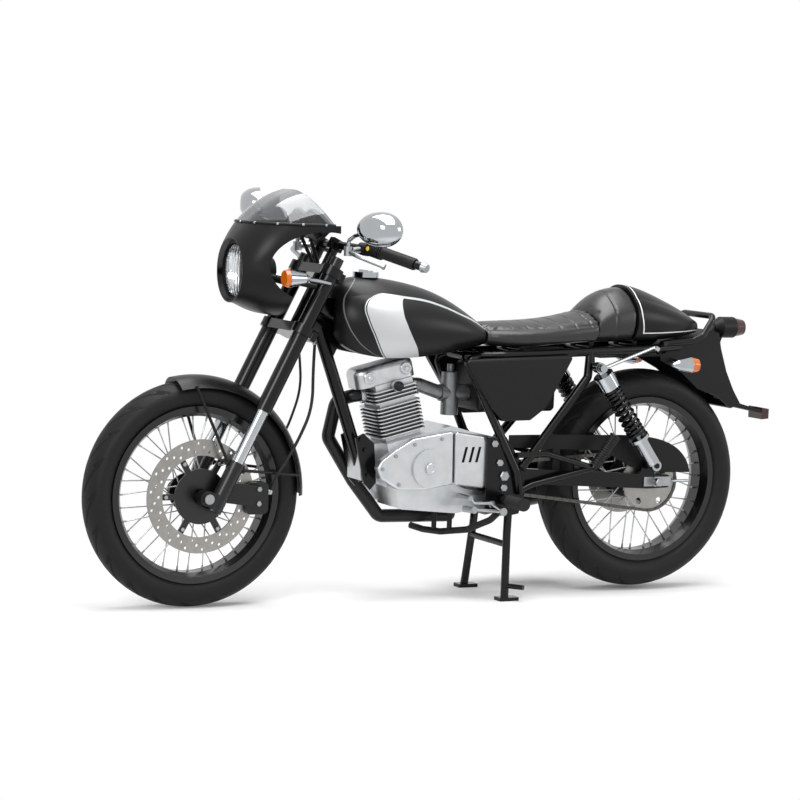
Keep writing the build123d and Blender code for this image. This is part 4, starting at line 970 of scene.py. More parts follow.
def hex_heads(
    name: str, body: Body, rows: Sequence[tuple[Sequence[float], Sequence[float]]], radius: float,
    height: float,
) -> None:
    """Add hexagon heads of one size.

    Args:
        name: Name of the piece.
        body: Body that carries them.
        rows: Place in millimetres and axis of each head.
        radius: Radius over the corners, in metres.
        height: Height of each head, in metres.
    """
    shape = Shape(name, body, ZINC_STEEL, "plated_steel", sharp=20.0)
    at = np.array([row[0] for row in rows]) / 1000.0
    axis = np.array([row[1] for row in rows], float)
    shape.repeat(at, axis, HEX_HEAD * (height, radius), 6)
    shape.make()


@dataclass
class Tyre:
    """A tyre on its wheel: carcass section turned about the axle, with a cut tread and moulded ribs."""

    name: str
    node: str
    body: Body
    axle: Point
    radius: float
    half: float
    bead: float
    bulge_r: float
    shoulder_y: float
    shoulder_r: float
    pitch: float = 0.088
    groove: float = 0.0036
    depth: float = 0.0044
    seat_r: float = 0.2185
    flange_r: float = 0.231
    rib_r: float = 0.2385
    rib_gap: float = 0.008
    rib_width: float = 0.0016
    rib_height: float = 0.0009
    steps: int = 960

    def section(self) -> np.ndarray:
        """Give the section as rows of place across and radius, from bead to bead.

        Returns:
            Rows of place across and radius.
        """
        side = arc(
            (self.bead, self.flange_r), (self.half, self.bulge_r), (self.shoulder_y, self.shoulder_r), 14,
        )
        shoulder = (self.shoulder_y, self.shoulder_r)
        crown = arc(shoulder, (0.0, self.radius), (-self.shoulder_y, self.shoulder_r), 48)
        far = side[::-1] * (-1.0, 1.0)
        return np.vstack(
            [[(self.bead, self.seat_r)], side[:-1], crown, far[1:], [(-self.bead, self.seat_r)]]
        )

    def cut(self, turn: np.ndarray, across: np.ndarray) -> np.ndarray:
        """Give the tread's depth: two slanted grooves a pitch, each a smooth trench of the groove's width.

        Args:
            turn: Angle round the axle, a column.
            across: Place across the tyre, a row.

        Returns:
            Depth below the carcass, in metres.
        """
        count = np.round(TURN * self.radius / self.pitch)
        pitch = TURN * self.radius / count
        length = turn * self.radius + np.where(across > 0.0, 0.0, pitch / 2.0)
        share = np.abs(across) / self.shoulder_y

        def trench(offset: float, slope: float, first: float, last: float) -> np.ndarray:
            """Give one groove's share of the depth along its slanted line.

            Args:
                offset: Shift along the tread.
                slope: Slant of the groove.
                first: Share across where it starts.
                last: Share across where it ends.

            Returns:
                Share of the full depth.
            """
            miss = (length + offset - slope * np.abs(across) + pitch / 2.0) % pitch - pitch / 2.0
            flank = np.clip(1.6 - np.abs(miss) / self.groove, 0.0, 1.0)
            gate = np.clip((share - first) * 14.0, 0.0, 1.0) * np.clip((last - share) * 14.0, 0.0, 1.0)
            return flank * gate

        long_cut = trench(offset=0.0, slope=2.3, first=0.08, last=0.98)
        short_cut = trench(offset=pitch * 0.5, slope=1.4, first=0.5, last=1.02)
        return self.depth * np.maximum(long_cut, short_cut)

    def build(self) -> None:
        """Turn the section about the axle, cut the tread and raise two ribs on each wall."""
        across, radius = self.section().T
        turn = np.linspace(0.0, TURN, self.steps, endpoint=False)[:, None]
        on_crown = np.abs(across) <= self.shoulder_y * 1.001
        on_crown &= radius > self.shoulder_r - 1e-4
        levels = (self.rib_r, self.bulge_r + self.rib_gap)
        ribs = sum(np.exp(-(((radius - level) / self.rib_width) ** 2)) for level in levels)
        wall = np.abs(across) > self.bead + 0.001
        out = np.where(on_crown, -self.cut(turn, across), 0.0)
        reach_out = radius + out
        y = across + np.sign(across) * np.where(wall & ~on_crown, self.rib_height * ribs, 0.0)
        points = np.stack(
            [
                self.axle[0] + reach_out * np.cos(turn),
                self.axle[1] + np.broadcast_to(y, reach_out.shape),
                self.axle[2] + reach_out * np.sin(turn),
            ],
            axis=-1,
        )
        shape = Shape(self.name, self.body, TYRE_RUBBER, "tyre_rubber", sharp=38.0)
        shape.grid(points, round_rows=True, round_columns=True)
        shape.make(self.node)


@dataclass
class Lacing:
    """The nipples at the rim end of the crossed spokes."""

    name: str
    body: Body
    axle: Point
    flange_r: float
    gap: float
    rim_r: float = 0.2035
    rim_half: float = 0.007
    spokes: int = 36
    cross: float = 34.0
    inset: float = 0.004
    layer: float = 0.0024

    def build(self) -> None:
        """Stand a nipple on the rim's well at each spoke, along that spoke."""
        count = np.arange(self.spokes)
        side = np.where(count % 2 == 0, 1.0, -1.0)
        lean = np.where((count // 2) % 2 == 0, 1.0, -1.0)
        at_rim = np.radians(360.0 / self.spokes * count)
        at_hub = at_rim + np.radians(self.cross) * lean
        inner = self.flange_r - self.inset
        off_plane = side * (self.gap + self.layer * lean)
        hub = np.column_stack([inner * np.cos(at_hub), off_plane, inner * np.sin(at_hub)])
        seat = side * self.rim_half
        rim = np.column_stack([self.rim_r * np.cos(at_rim), seat, self.rim_r * np.sin(at_rim)])
        shape = Shape(self.name, self.body, ZINC_STEEL, "hub_steel", sharp=30.0)
        nipple = np.array(
            [(0.0, 0.0), (0.0, 3.2), (4.0, 3.2), (4.6, 2.8), (12.5, 2.6), (13.0, 1.7), (13.0, 0.0)]
        ) / 1000.0
        shape.repeat(rim + self.axle, hub - rim, nipple, 8)
        shape.make()


@dataclass
class Springs:
    """The two rear springs: a round wire on a helix about each damper, with closed ends."""

    foot: Point = (-0.593, 0.132, 0.363)
    top: Point = (-0.398, 0.132, 0.635)
    first: float = 0.304
    last: float = 0.796
    coil_r: float = 0.0222
    wire_r: float = 0.0046
    turns: float = 11.0
    slowing: float = 0.055
    steps: int = 620

    def build(self) -> None:
        """Wind both springs: centre + coil radius * (circle) + rise along the damper, slower at both ends."""
        shape = Shape("rear_springs", Body.CHASSIS, FRAME_ENAMEL, "spring_black")
        for side in (1.0, -1.0):
            flip = np.array([1.0, side, 1.0])
            foot, top = np.array(self.foot) * flip, np.array(self.top) * flip
            ahead = unit(top - foot)
            first, second = square_to(ahead)
            share = np.linspace(0.0, 1.0, self.steps)[:, None]
            length = np.linalg.norm(top - foot)
            low = self.first + self.wire_r / length
            high = self.last - self.wire_r / length
            rise = share - self.slowing * np.sin(TURN * share)
            spin = TURN * self.turns * share
            coil = self.coil_r * (np.cos(spin) * first + np.sin(spin) * second)
            shape.swept(foot + (top - foot) * (low + (high - low) * rise) + coil, self.wire_r, 10)
        shape.make("shock_springs")


@dataclass
class Chain:
    """The drive chain: rollers and paired side plates on the taut loop round both sprockets."""

    rear: tuple[float, float] = (REAR_AXLE[0], REAR_AXLE[2])
    front: tuple[float, float] = (-0.038, 0.335)
    rear_r: float = 0.0843
    front_r: float = 0.030
    y: float = 0.076
    pitch: float = 0.0127
    plate_end: float = 0.0042
    plate_half: float = 0.0044
    plate_waist: float = 0.0011
    plate_rise: float = 1.35
    half_thick: float = 0.0005
    outer_y: float = 0.0047
    inner_y: float = 0.0034
    corners: int = 12

    def loop(self, share: np.ndarray) -> tuple[np.ndarray, np.ndarray]:
        """Give places on the loop and its direction there.

        Args:
            share: Shares of the whole loop.

        Returns:
            Points and unit directions in the plane of the chain.
        """
        rear, front = np.array(self.rear), np.array(self.front)
        line = front - rear
        tilt = np.arctan2(line[1], line[0])
        lean = np.arccos((self.rear_r - self.front_r) / np.linalg.norm(line))
        around_rear = np.linspace(tilt + lean, tilt + TURN - lean, 240)
        around_front = np.linspace(tilt - lean, tilt + lean, 60)
        path = np.vstack([
            rear + self.rear_r * np.column_stack([np.cos(around_rear), np.sin(around_rear)]),
            front + self.front_r * np.column_stack([np.cos(around_front), np.sin(around_front)]),
        ])
        path = np.vstack([path, path[:1]])
        run = np.concatenate([[0.0], np.cumsum(np.linalg.norm(np.diff(path, axis=0), axis=1))])
        at = share * run[-1]
        points = np.column_stack([np.interp(at, run, path[:, i]) for i in (0, 1)])
        ahead = np.column_stack([np.interp((at + 1e-3) % run[-1], run, path[:, i]) for i in (0, 1)]) - points
        return points, unit(ahead)

    def build(self) -> None:
        """Set a roller at each pitch and a pair of waisted plates over each link, wide and narrow in turn."""
        rear, front = np.array(self.rear), np.array(self.front)
        around = np.pi * (self.rear_r + self.front_r) + 2.0 * np.linalg.norm(front - rear)
        count = 2 * int(round(around / self.pitch / 2.0))
        place, _ = self.loop(np.arange(count) / count)
        pins = np.column_stack([place[:, 0], np.full(count, self.y), place[:, 1]])
        shape = Shape("chain_links", Body.CHASSIS, CHAIN_STEEL, "chain_steel", sharp=30.0)
        roller = np.array([(-0.0054, 0.0), (-0.0054, 0.0018), (-0.0028, 0.0018), (-0.0028, 0.0041)])
        roller = np.vstack([roller, roller[::-1] * (-1.0, 1.0)])
        shape.repeat(pins, np.array([[0.0, 1.0, 0.0]]), roller, 8)
        ahead = np.roll(pins, -1, axis=0) - pins
        middle = pins + ahead / 2.0
        along = unit(ahead)
        up = np.cross(along, (0.0, 1.0, 0.0))
        corner = np.linspace(0.0, TURN, self.corners, endpoint=False)
        waist = self.plate_half - self.plate_waist * np.sin(corner) ** 2
        half_length = self.pitch / 2.0 + self.plate_end
        flat = np.column_stack([half_length * np.cos(corner), waist * np.sin(corner) * self.plate_rise])
        wide = np.where(np.arange(count) % 2 == 0, self.outer_y, self.inner_y)
        for side in (1.0, -1.0):
            for i in range(count):
                outline = middle[i] + flat[:, :1] * along[i] + flat[:, 1:] * up[i]
                inner = outline + (0.0, side * (wide[i] - self.half_thick), 0.0)
                outer = outline + (0.0, side * (wide[i] + self.half_thick), 0.0)
                ends = [np.repeat(ring.mean(axis=0)[None], self.corners, axis=0) for ring in (inner, outer)]
                shape.grid(np.stack([ends[0], inner, outer, ends[1]]), round_columns=True)
        shape.make("chain")


@dataclass
class Pad:
    """A padded hide cover: the solid's own skin, swollen by simulated pressure, then stitched."""

    name: str
    node: str
    fill: float
    seams_x: tuple[float, ...]
    seam_floor: float
    piping: Pairs = ()
    voxel: float = 0.005
    shrink: float = 0.003
    limit: float = 0.0024
    pressure: float = 4.0
    base_band: float = 0.02
    swell_frames: int = 20
    seam_depth: float = 0.0024
    seam_width: float = 0.0026
    seam_fade: float = 0.02
    stitch_pitch: float = 0.012
    piping_depth: float = 0.0026
    piping_width: float = 0.0035

    def skin(self) -> bpy.types.Object:
        """Copy the solid's mesh, join it, draw it in a little and remesh it evenly.

        Returns:
            The blank cover.
        """
        mesh = NODES[self.node].data.copy()
        work = bmesh.new()
        work.from_mesh(mesh)
        bmesh.ops.remove_doubles(work, verts=work.verts, dist=1e-5)
        bmesh.ops.recalc_face_normals(work, faces=work.faces)
        work.to_mesh(mesh)
        work.free()
        obj = bpy.data.objects.new(self.name + "_blank", mesh)
        bpy.context.scene.collection.objects.link(obj)
        inset = obj.modifiers.new("inset", "DISPLACE")
        inset.strength = -self.shrink
        inset.mid_level = 0.0
        even = obj.modifiers.new("even", "REMESH")
        even.mode = "VOXEL"
        even.voxel_size = self.voxel
        return self.settle(obj)

    def settle(self, obj: bpy.types.Object) -> bpy.types.Object:
        """Apply all of an object's modifiers to its mesh.

        Args:
            obj: The cover's object.

        Returns:
            The same object.
        """
        held = obj.evaluated_get(bpy.context.evaluated_depsgraph_get())
        mesh = bpy.data.meshes.new_from_object(held)
        obj.modifiers.clear()
        obj.data = mesh
        return obj

    def places(self, obj: bpy.types.Object) -> np.ndarray:
        """Read the mesh's points as rows.

        Args:
            obj: The cover's object.

        Returns:
            The points, one a row.
        """
        flat = np.empty(len(obj.data.vertices) * 3)
        obj.data.vertices.foreach_get("co", flat)
        return flat.reshape(-1, 3)

    def swell(self, obj: bpy.types.Object) -> None:
        """Blow the cover up with a little pressure, its base held, and cap how far each point may go.

        Args:
            obj: The cover's object.
        """
        before = self.places(obj)
        base = before[:, 2].min() + self.base_band
        group = obj.vertex_groups.new(name="base")
        group.add(np.flatnonzero(before[:, 2] < base).tolist(), 1.0, "REPLACE")
        cloth = obj.modifiers.new("swell", "CLOTH")
        cloth.settings.use_pressure = True
        cloth.settings.uniform_pressure_force = self.pressure
        cloth.settings.effector_weights.gravity = 0.0
        cloth.settings.vertex_group_mass = "base"
        scene = bpy.context.scene
        for step in range(self.swell_frames):
            scene.frame_set(step + 1)
        self.settle(obj)
        scene.frame_set(1)
        move = self.places(obj) - before
        far = np.linalg.norm(move, axis=1, keepdims=True)
        capped = before + move * np.minimum(1.0, self.limit / np.maximum(far, 1e-9))
        obj.data.vertices.foreach_set("co", capped.ravel())

    def stitch(self, obj: bpy.types.Object) -> None:
        """Press the stitched channels across the top, puckered at each stitch, and the piping line.

        Args:
            obj: The cover's object.
        """
        points = self.places(obj)
        normals = np.empty(len(points) * 3)
        obj.data.vertices.foreach_get("normal", normals)
        normals = normals.reshape(-1, 3)
        press = np.zeros(len(points))
        for seam in self.seams_x:
            near = np.exp(-(((points[:, 0] - seam) / self.seam_width) ** 2))
            pucker = 0.85 + 0.15 * np.cos(TURN * points[:, 1] / self.stitch_pitch)
            above = np.clip((points[:, 2] - self.seam_floor) / self.seam_fade, 0.0, 1.0)
            press += self.seam_depth * near * pucker * above
        if self.piping:
            line_x, line_z = np.array(self.piping).T
            level = np.interp(points[:, 0], line_x, line_z)
            near = np.exp(-(((points[:, 2] - level) / self.piping_width) ** 2))
            press += self.piping_depth * near * (np.abs(normals[:, 1]) > 0.25)
        points -= normals * press[:, None]
        obj.data.vertices.foreach_set("co", points.ravel())
        obj.data.update()

    def build(self) -> None:
        """Make the cover, swell it, smooth it once and stitch it."""
        obj = self.skin()
        self.swell(obj)
        finer = obj.modifiers.new("finer", "SUBSURF")
        finer.levels = 1
        finer.render_levels = 1
        self.settle(obj)
        self.stitch(obj)
        mesh = obj.data
        bpy.data.objects.remove(obj)
        made = Shape(self.name, Body.CHASSIS, HIDE, "seat_leather", sharp=70.0).place(mesh, self.node)


@dataclass
class Nose:
    """What shows in the nose: the lamp's reflector and bulb, the dials and the mirrors' glass."""

    lamp_x: float = 0.629
    lamp_z: float = 0.877
    dial_at: Point = (0.418, 0.044, 1.012)
    dial_axis: Point = (-0.7071, 0.0, 0.7071)
    bowl_back: float = -0.054
    bowl_r: tuple[float, float] = (0.012, 0.0655)
    four_focus: float = 0.0875
    bowl_wall: float = 0.0012
    # Each mark's inner radius and half width, the marks' outer radius, and their turn from the top
    long_mark: tuple[float, float] = (0.0265, 0.0009)
    short_mark: tuple[float, float] = (0.0295, 0.0005)
    mark_out: float = 0.0335
    mark_turn: float = 130.0
    marks: int = 27
    needle_turn: float = -118.0
    # The mirrors' turn outward, half width and half height of the glass, and its place behind the centre
    mirror_turn: float = 25.0
    mirror_half: tuple[float, float] = (0.066, 0.045)
    mirror_back: float = 0.022

    def build(self) -> None:
        """Build the lamp, both dials and both glasses."""
        self.lamp()
        for side in (1.0, -1.0):
            self.dial(side)
        self.glass("left_mirror_glass", (0.379, 0.302, 1.000), 1.0)
        self.glass("right_mirror_glass", (0.458, -0.312, 1.044), -1.0)

    def lamp(self) -> None:
        """Turn the reflector as a paraboloid, x = x0 + r^2 / 4f, with a bulb and its shield on the axis."""
        radius = np.linspace(*self.bowl_r, 24)
        bowl = np.column_stack([self.bowl_back + radius**2 / self.four_focus, radius])
        rim = np.array([(-0.0045, 0.0672), (-0.0065, 0.0672)])
        back = bowl[::-1] + (-self.bowl_wall, 0.0)
        shape = Shape("lamp_reflector", Body.STEERING, SILVERED, "chrome")
        shape.turned(
            (self.lamp_x, 0.0, self.lamp_z), (1.0, 0.0, 0.0), np.vstack([bowl, rim, back]), 72, ring=True,
        )
        shape.make()
        bulb = Shape("lamp_bulb", Body.STEERING, CHROME, "chrome")
        dome = arc((-0.030, 0.0105), (-0.0195, 0.0078), (-0.0165, 0.0), 8)
        bulb.turned(
            (self.lamp_x, 0.0, self.lamp_z), (1.0, 0.0, 0.0),
            np.vstack([[(-0.056, 0.0), (-0.056, 0.0125), (-0.034, 0.0105)], dome]), 32,
        )
        bulb.make()

    def dial(self, side: float) -> None:
        """Lay a card, its ring of marks, a needle and a bright bezel on one clock.

        Args:
            side: One for the left clock and minus one for the right.
        """
        at = np.array(self.dial_at) * (1.0, side, 1.0)
        axis = np.array(self.dial_axis)
        right, up = square_to(axis)
        name = "left" if side > 0.0 else "right"
        card = Shape(f"{name}_dial_card", Body.STEERING, DIAL_CARD, "plastic_black")
        card.turned(at, axis, np.array([(0.0004, 0.0), (0.0004, 0.0355), (0.0010, 0.0355), (0.0010, 0.0)]))
        card.make()
        bezel = Shape(f"{name}_dial_bezel", Body.STEERING, CHROME, "chrome")
        bezel.turned(
            at, axis,
            np.array(
                [
                    (-0.004, 0.0403), (-0.004, 0.0418), (0.003, 0.0418), (0.0045, 0.040), (0.0040, 0.0365),
                    (0.0004, 0.0362), (0.0004, 0.0403),
                ]
            ),
            64, ring=True,
        )
        bezel.make()
        ink = Shape(f"{name}_dial_marks", Body.STEERING, DIAL_INK, "lamp_glass", sharp=10.0)
        turn = np.radians(np.linspace(-self.mark_turn, self.mark_turn, self.marks))
        for i, angle in enumerate(turn):
            out = np.sin(angle) * right + np.cos(angle) * up
            across = np.cross(axis, out)
            inner, half = self.long_mark if i % 2 == 0 else self.short_mark
            corners = np.array(
                [(inner, -half), (self.mark_out, -half), (self.mark_out, half), (inner, half)]
            )
            ring = at + axis * 0.0012 + corners[:, :1] * out + corners[:, 1:] * across
            ink.grid(np.stack([ring - axis * 0.0002, ring]), round_columns=True)
            ink.add(ring, np.array([[0, 1, 2, 3]]))
        ink.make()
        needle = Shape(f"{name}_dial_needle", Body.STEERING, AMBER_LENS, "amber_lens")
        lean = np.radians(self.needle_turn)
        out = np.sin(lean) * right + np.cos(lean) * up
        needle.turned(
            at + axis * 0.0018 - out * 0.008, out,
            np.array([(0.0, 0.0), (0.0, 0.0009), (0.034, 0.0004), (0.034, 0.0)]), 8,
        )
        needle.turned(
            at, axis, np.array([(0.001, 0.0), (0.001, 0.0042), (0.0034, 0.0036), (0.0036, 0.0)]), 24,
        )
        needle.make()

    def glass(self, name: str, head: Point, side: float) -> None:
        """Lay an oval of glass on a mirror's rear face: centre + half width * cos + half height * sin.

        Args:
            name: Name of the piece.
            head: Centre of the mirror's head.
            side: One for the left mirror and minus one for the right.
        """
        turn = np.radians(self.mirror_turn)
        half_width, half_height = self.mirror_half
        ahead = np.array([np.cos(turn), side * np.sin(turn), 0.0])
        across = np.array([-side * np.sin(turn), np.cos(turn), 0.0])
        share = np.array([0.0, 0.5, 0.88, 0.92, 0.92, 0.0])
        back = np.array([1.4, 1.3, 1.1, 0.8, 0.35, 0.35]) / 1000.0
        spin = np.linspace(0.0, TURN, 64, endpoint=False)[:, None, None]
        oval = half_width * np.cos(spin) * across + half_height * np.sin(spin) * np.array([0.0, 0.0, 1.0])
        middle = np.array(head) - ahead * self.mirror_back
        face = middle + share[None, :, None] * oval - back[None, :, None] * ahead
        shape = Shape(name, Body.STEERING, SILVERED, "chrome")
        shape.grid(face, round_rows=True)
        shape.make()


@dataclass
class Grips:
    """Ribbed rubber grips on both ends of the bar."""

    inner: Point = (0.318, 0.190, 0.941)
    outer: Point = (0.254, 0.318, 0.908)
    bore: float = 0.0114
    barrel_r: float = 0.0153
    rib_height: float = 0.0007
    rib_pitch: float = 0.004

    def build(self) -> None:
        """Turn each grip: a flange, then a barrel whose radius ripples with a rib every four millimetres."""
        shape = Shape("ribbed_grips", Body.STEERING, GRIP_RUBBER, "rubber_black", sharp=60.0)
        for side in (1.0, -1.0):
            start, end = (np.array(point) * (1.0, side, 1.0) for point in (self.inner, self.outer))
            length = np.linalg.norm(end - start)
            along = np.linspace(0.105 * length, 0.83 * length, 150)
            ripple = np.cos(TURN * along / self.rib_pitch)
            barrel = np.column_stack([along, self.barrel_r + self.rib_height * ripple])
            flange = np.array(
                [
                    (0.08 * length, self.bore), (0.08 * length, 0.0195), (0.09 * length, 0.020),
                    (0.1 * length, 0.0195),
                ]
            )
            tail = np.array([(0.84 * length, 0.0145), (0.84 * length, self.bore)])
            shape.turned(start, end - start, np.vstack([flange, barrel, tail]), 40, ring=True)
        shape.make("grips")
        button = Shape("switch_button", Body.STEERING, YELLOW_ABS, "amber_lens")
        button.turned(
            (0.3405, 0.1785, 0.9465), (0.894, 0.447, 0.1),
            np.array([(0.0, 0.0), (0.0, 0.006), (0.005, 0.0055), (0.006, 0.0045), (0.006, 0.0)]), 20,
        )
        button.make()


@dataclass
class Lines:
    """The brake hose and the speedometer cable at the fork, with their end fittings."""

    hose: tuple[Point, ...] = (
        (0.546, 0.072, 0.306), (0.544, 0.090, 0.340), (0.518, 0.092, 0.378), (0.474, 0.084, 0.444),
        (0.434, 0.074, 0.525), (0.430, 0.060, 0.627), (0.424, 0.052, 0.690),
    )
    cable: tuple[Point, ...] = (
        (0.424, -0.052, 0.690), (0.412, -0.065, 0.649), (0.403, -0.068, 0.562), (0.431, -0.068, 0.476),
        (0.450, -0.067, 0.440), (0.471, -0.0643, 0.393),
    )
    hose_r: float = 0.0042
    cable_r: float = 0.0035

    def build(self) -> None:
        """Lay both lines and turn the fittings at their ends."""
        hose = self.line("brake_line", self.hose, self.hose_r)
        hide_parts("brake_hose")
        cable = self.line("speedometer_cable", self.cable, self.cable_r)
        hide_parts("brake_hose")
        shape = Shape("line_fittings", Body.STEERING, ZINC_STEEL, "plated_steel", sharp=25.0)
        banjo = np.array(
            [(0.0, 0.0), (0.0, 0.0075), (0.0022, 0.008), (0.0093, 0.008), (0.0115, 0.0075), (0.0115, 0.0)]
        )
        shape.turned((0.5545, 0.072, 0.305), (-1.0, 0.0, 0.0), banjo, 24)
        for side in (1.0, -1.0):
            foot, head = np.array([0.424, side * 0.052, 0.688]), np.array([0.4295, side * 0.0498, 0.7102])
            length = np.linalg.norm(head - foot)
            union = np.array(
                [
                    (0.0, 0.0), (0.0, 0.0056), (0.006, 0.0056), (0.0062, 0.0078), (0.014, 0.0078),
                    (0.0142, 0.006), (length, 0.006), (length, 0.0),
                ]
            )
            shape.turned(foot, head - foot, union, 6)
        shape.make()

    def line(
        self, name: str, route: Sequence[Point], radius: float,
    ) -> bpy.types.Object:
        """Args:
            name: Name of the piece.
            route: Control points in metres.
            radius: Radius of the line in metres.

        Returns:
            The curve's object.
        """
        data = bpy.data.curves.new(name, "CURVE")
        data.dimensions = "3D"
        data.resolution_u = 12
        spline = data.splines.new("NURBS")
        spline.points.add(len(route) - 1)
        spline.points.foreach_set("co", np.column_stack([route, np.ones(len(route))]).ravel())
        spline.order_u = 3
        spline.use_endpoint_u = True
        data.bevel_depth = radius
        data.bevel_resolution = 4
        data.use_fill_caps = True
        data.materials.append(GRIP_RUBBER.make())
        obj = bpy.data.objects.new(name, data)
        bpy.context.scene.collection.objects.link(obj)
        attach(obj, Body.STEERING.value)
        return obj


@dataclass
class Fasteners:
    """Bolts, nuts and cover screws at their real places, in millimetres."""

    cover_y: float = 98.2
    plate_y: float = 113.3
    carrier_y: float = 66.8
    carrier_r: float = 97.0
    carrier_bolts: int = 6
    rear_axle_end: float = 126.2
    pivot: tuple[float, float] = (-125.0, 340.0)
    cover_screws: Pairs = (
        (234, 362), (196, 396), (141, 426), (60, 440), (108, 318), (184, 320),
    )
    engine_nuts: Pairs = ((-92, 428), (-90, 264), (-110, 376), (-125, 308))
    caliper_bolts: tuple[Point, ...] = ((588, 96.3, 316), (588, 96.3, 278))

    def build(self) -> None:
        """Set each size of fastener on the piece that it holds."""
        left = (0.0, 1.0, 0.0)
        both = (left, (0.0, -1.0, 0.0))
        screws = [((x, self.cover_y, z), left) for x, z in self.cover_screws]
        hex_heads("cover_screws", Body.CHASSIS, screws, 0.0052, 0.0042)
        nuts = [((x, out[1] * self.plate_y, z), out) for x, z in self.engine_nuts for out in both]
        hex_heads("engine_nuts", Body.CHASSIS, nuts, 0.0105, 0.0075)
        pivots = [((self.pivot[0], out[1] * self.plate_y, self.pivot[1]), out) for out in both]
        hex_heads("pivot_nuts", Body.CHASSIS, pivots, 0.0145, 0.009)
        turn = np.linspace(0.0, TURN, self.carrier_bolts, endpoint=False)
        arms = self.carrier_r * np.column_stack([np.cos(turn), np.sin(turn)])
        front_x, _, front_z = np.array(FRONT_AXLE) * 1000.0
        carrier = [((front_x + x, self.carrier_y, front_z + z), left) for x, z in arms]
        hex_heads("disc_bolts", Body.FRONT_WHEEL, carrier, 0.0058, 0.0045)
        hex_heads("caliper_bolts", Body.STEERING, [(at, left) for at in self.caliper_bolts], 0.0072, 0.0055)
        rear_x, _, rear_z = np.array(REAR_AXLE) * 1000.0
        ends = [((rear_x, out[1] * self.rear_axle_end, rear_z), out) for out in both]
        hex_heads("axle_nut", Body.CHASSIS, ends, 0.0125, 0.008)


@dataclass
class FootRubbers:
    """Ribbed rubber sleeves on the rider's and the passenger's pegs."""

    rider: tuple[Point, Point] = ((-0.128, 0.140, 0.275), (-0.128, 0.224, 0.275))
    passenger: tuple[Point, Point] = ((-0.392, 0.138, 0.360), (-0.448, 0.152, 0.449))
    rider_r: float = 0.0152
    passenger_r: float = 0.0142
    first: float = 0.006
    overhang: float = 0.002
    wall: float = 0.0012
    rib_height: float = 0.0010
    rib_pitch: float = 0.007

    def build(self) -> None:
        """Turn each sleeve: a barrel whose radius steps out at a rib every seven millimetres."""
        shape = Shape("peg_rubbers", Body.CHASSIS, GRIP_RUBBER, "rubber_black", sharp=50.0)
        for (start, end), core in ((self.rider, self.rider_r), (self.passenger, self.passenger_r)):
            for side in (1.0, -1.0):
                foot, tip = (np.array(point) * (1.0, side, 1.0) for point in (start, end))
                last = np.linalg.norm(tip - foot) + self.overhang
                along = np.linspace(self.first, last, 120)
                ripple = np.clip(np.cos(TURN * along / self.rib_pitch) * 2.0, -1.0, 1.0)
                barrel = np.column_stack([along, core + self.wall + self.rib_height * ripple])
                closed = np.vstack([[(self.first, 0.0)], barrel, [(last, 0.0)]])
                shape.turned(foot, tip - foot, closed, 28)
        shape.make()


@dataclass
class Sprocket:
    """The rear sprocket's ring of teeth, on the rear wheel."""

    centre: Point = (REAR_AXLE[0], 0.0759, REAR_AXLE[2])
    root: float = 0.0805
    tip: float = 0.0868
    teeth: int = 42
    half: float = 0.0016
    rim: float = 0.006

    def build(self) -> None:
        """Cut the teeth as a rounded wave of the radius: root + height * (rising half of a cosine)."""
        turn = np.linspace(0.0, TURN, self.teeth * 10, endpoint=False)
        wave = np.clip(0.5 + 0.85 * np.cos(self.teeth * turn), 0.0, 1.0)
        edge_r = self.root + (self.tip - self.root) * wave
        inner = np.full_like(turn, self.root - self.rim)
        rows = [
            (inner, -self.half), (edge_r, -self.half * 0.6), (edge_r, self.half * 0.6), (inner, self.half),
        ]
        ring = [
            np.column_stack([r * np.cos(turn), np.full_like(turn, y), r * np.sin(turn)])
            for r, y in rows
        ]
        shape = Shape("sprocket_teeth", Body.REAR_WHEEL, DISC_STEEL, "disc_steel", sharp=30.0)
        shape.grid(np.stack(ring, axis=1) + np.array(self.centre), round_rows=True, round_columns=True)
        shape.make()


@dataclass
class ScreenTrim:
    """The rubber bead and the small screws where the screen meets the fairing."""

    bead_r: float = 0.0032
    screws: int = 9
    middle: tuple[float, float] = (0.46, 0.0)
    edge_band: float = 0.002
    window: float = 0.06

    def build(self) -> None:
        """Follow the screen's lower edge, read from its solid, with a bead and evenly set screws."""
        mesh = NODES["windscreen"].data
        flat = np.empty(len(mesh.vertices) * 3)
        mesh.vertices.foreach_get("co", flat)
        points = flat.reshape(-1, 3)
        points = points[points[:, 2] < points[:, 2].min() + self.edge_band]
        centre = np.array(self.middle)
        away = points[:, :2] - centre
        turn = np.arctan2(away[:, 1], away[:, 0])
        far = np.linalg.norm(away, axis=1)
        bins = np.linspace(turn.min(), turn.max(), 40)
        outer = np.array([far[np.abs(turn - at) < self.window].max(initial=0.0) for at in bins])
        kept = outer > 0.0
        spread = np.linspace(bins[kept][0], bins[kept][-1], 160)
        reach_out = np.interp(spread, bins[kept], outer[kept])
        level = np.full_like(spread, points[:, 2].min() + 0.001)
        path = np.column_stack(
            [centre[0] + reach_out * np.cos(spread), centre[1] + reach_out * np.sin(spread), level]
        )
        bead = Shape("screen_bead", Body.STEERING, GRIP_RUBBER, "rubber_black", sharp=60.0)
        bead.swept(path, self.bead_r, 12)
        bead.make()
        index = np.linspace(8, 151, self.screws).astype(int)
        out = np.column_stack([np.cos(spread[index]), np.sin(spread[index]), np.zeros(self.screws)])
        head = np.array([(0.0, 0.0), (0.0, 0.0036), (0.0014, 0.0033), (0.0022, 0.0018), (0.0024, 0.0)])
        shape = Shape("screen_screws", Body.STEERING, ZINC_STEEL, "plated_steel")
        shape.repeat(path[index] + out * self.bead_r * 0.8, out, head, 12)
        shape.make()


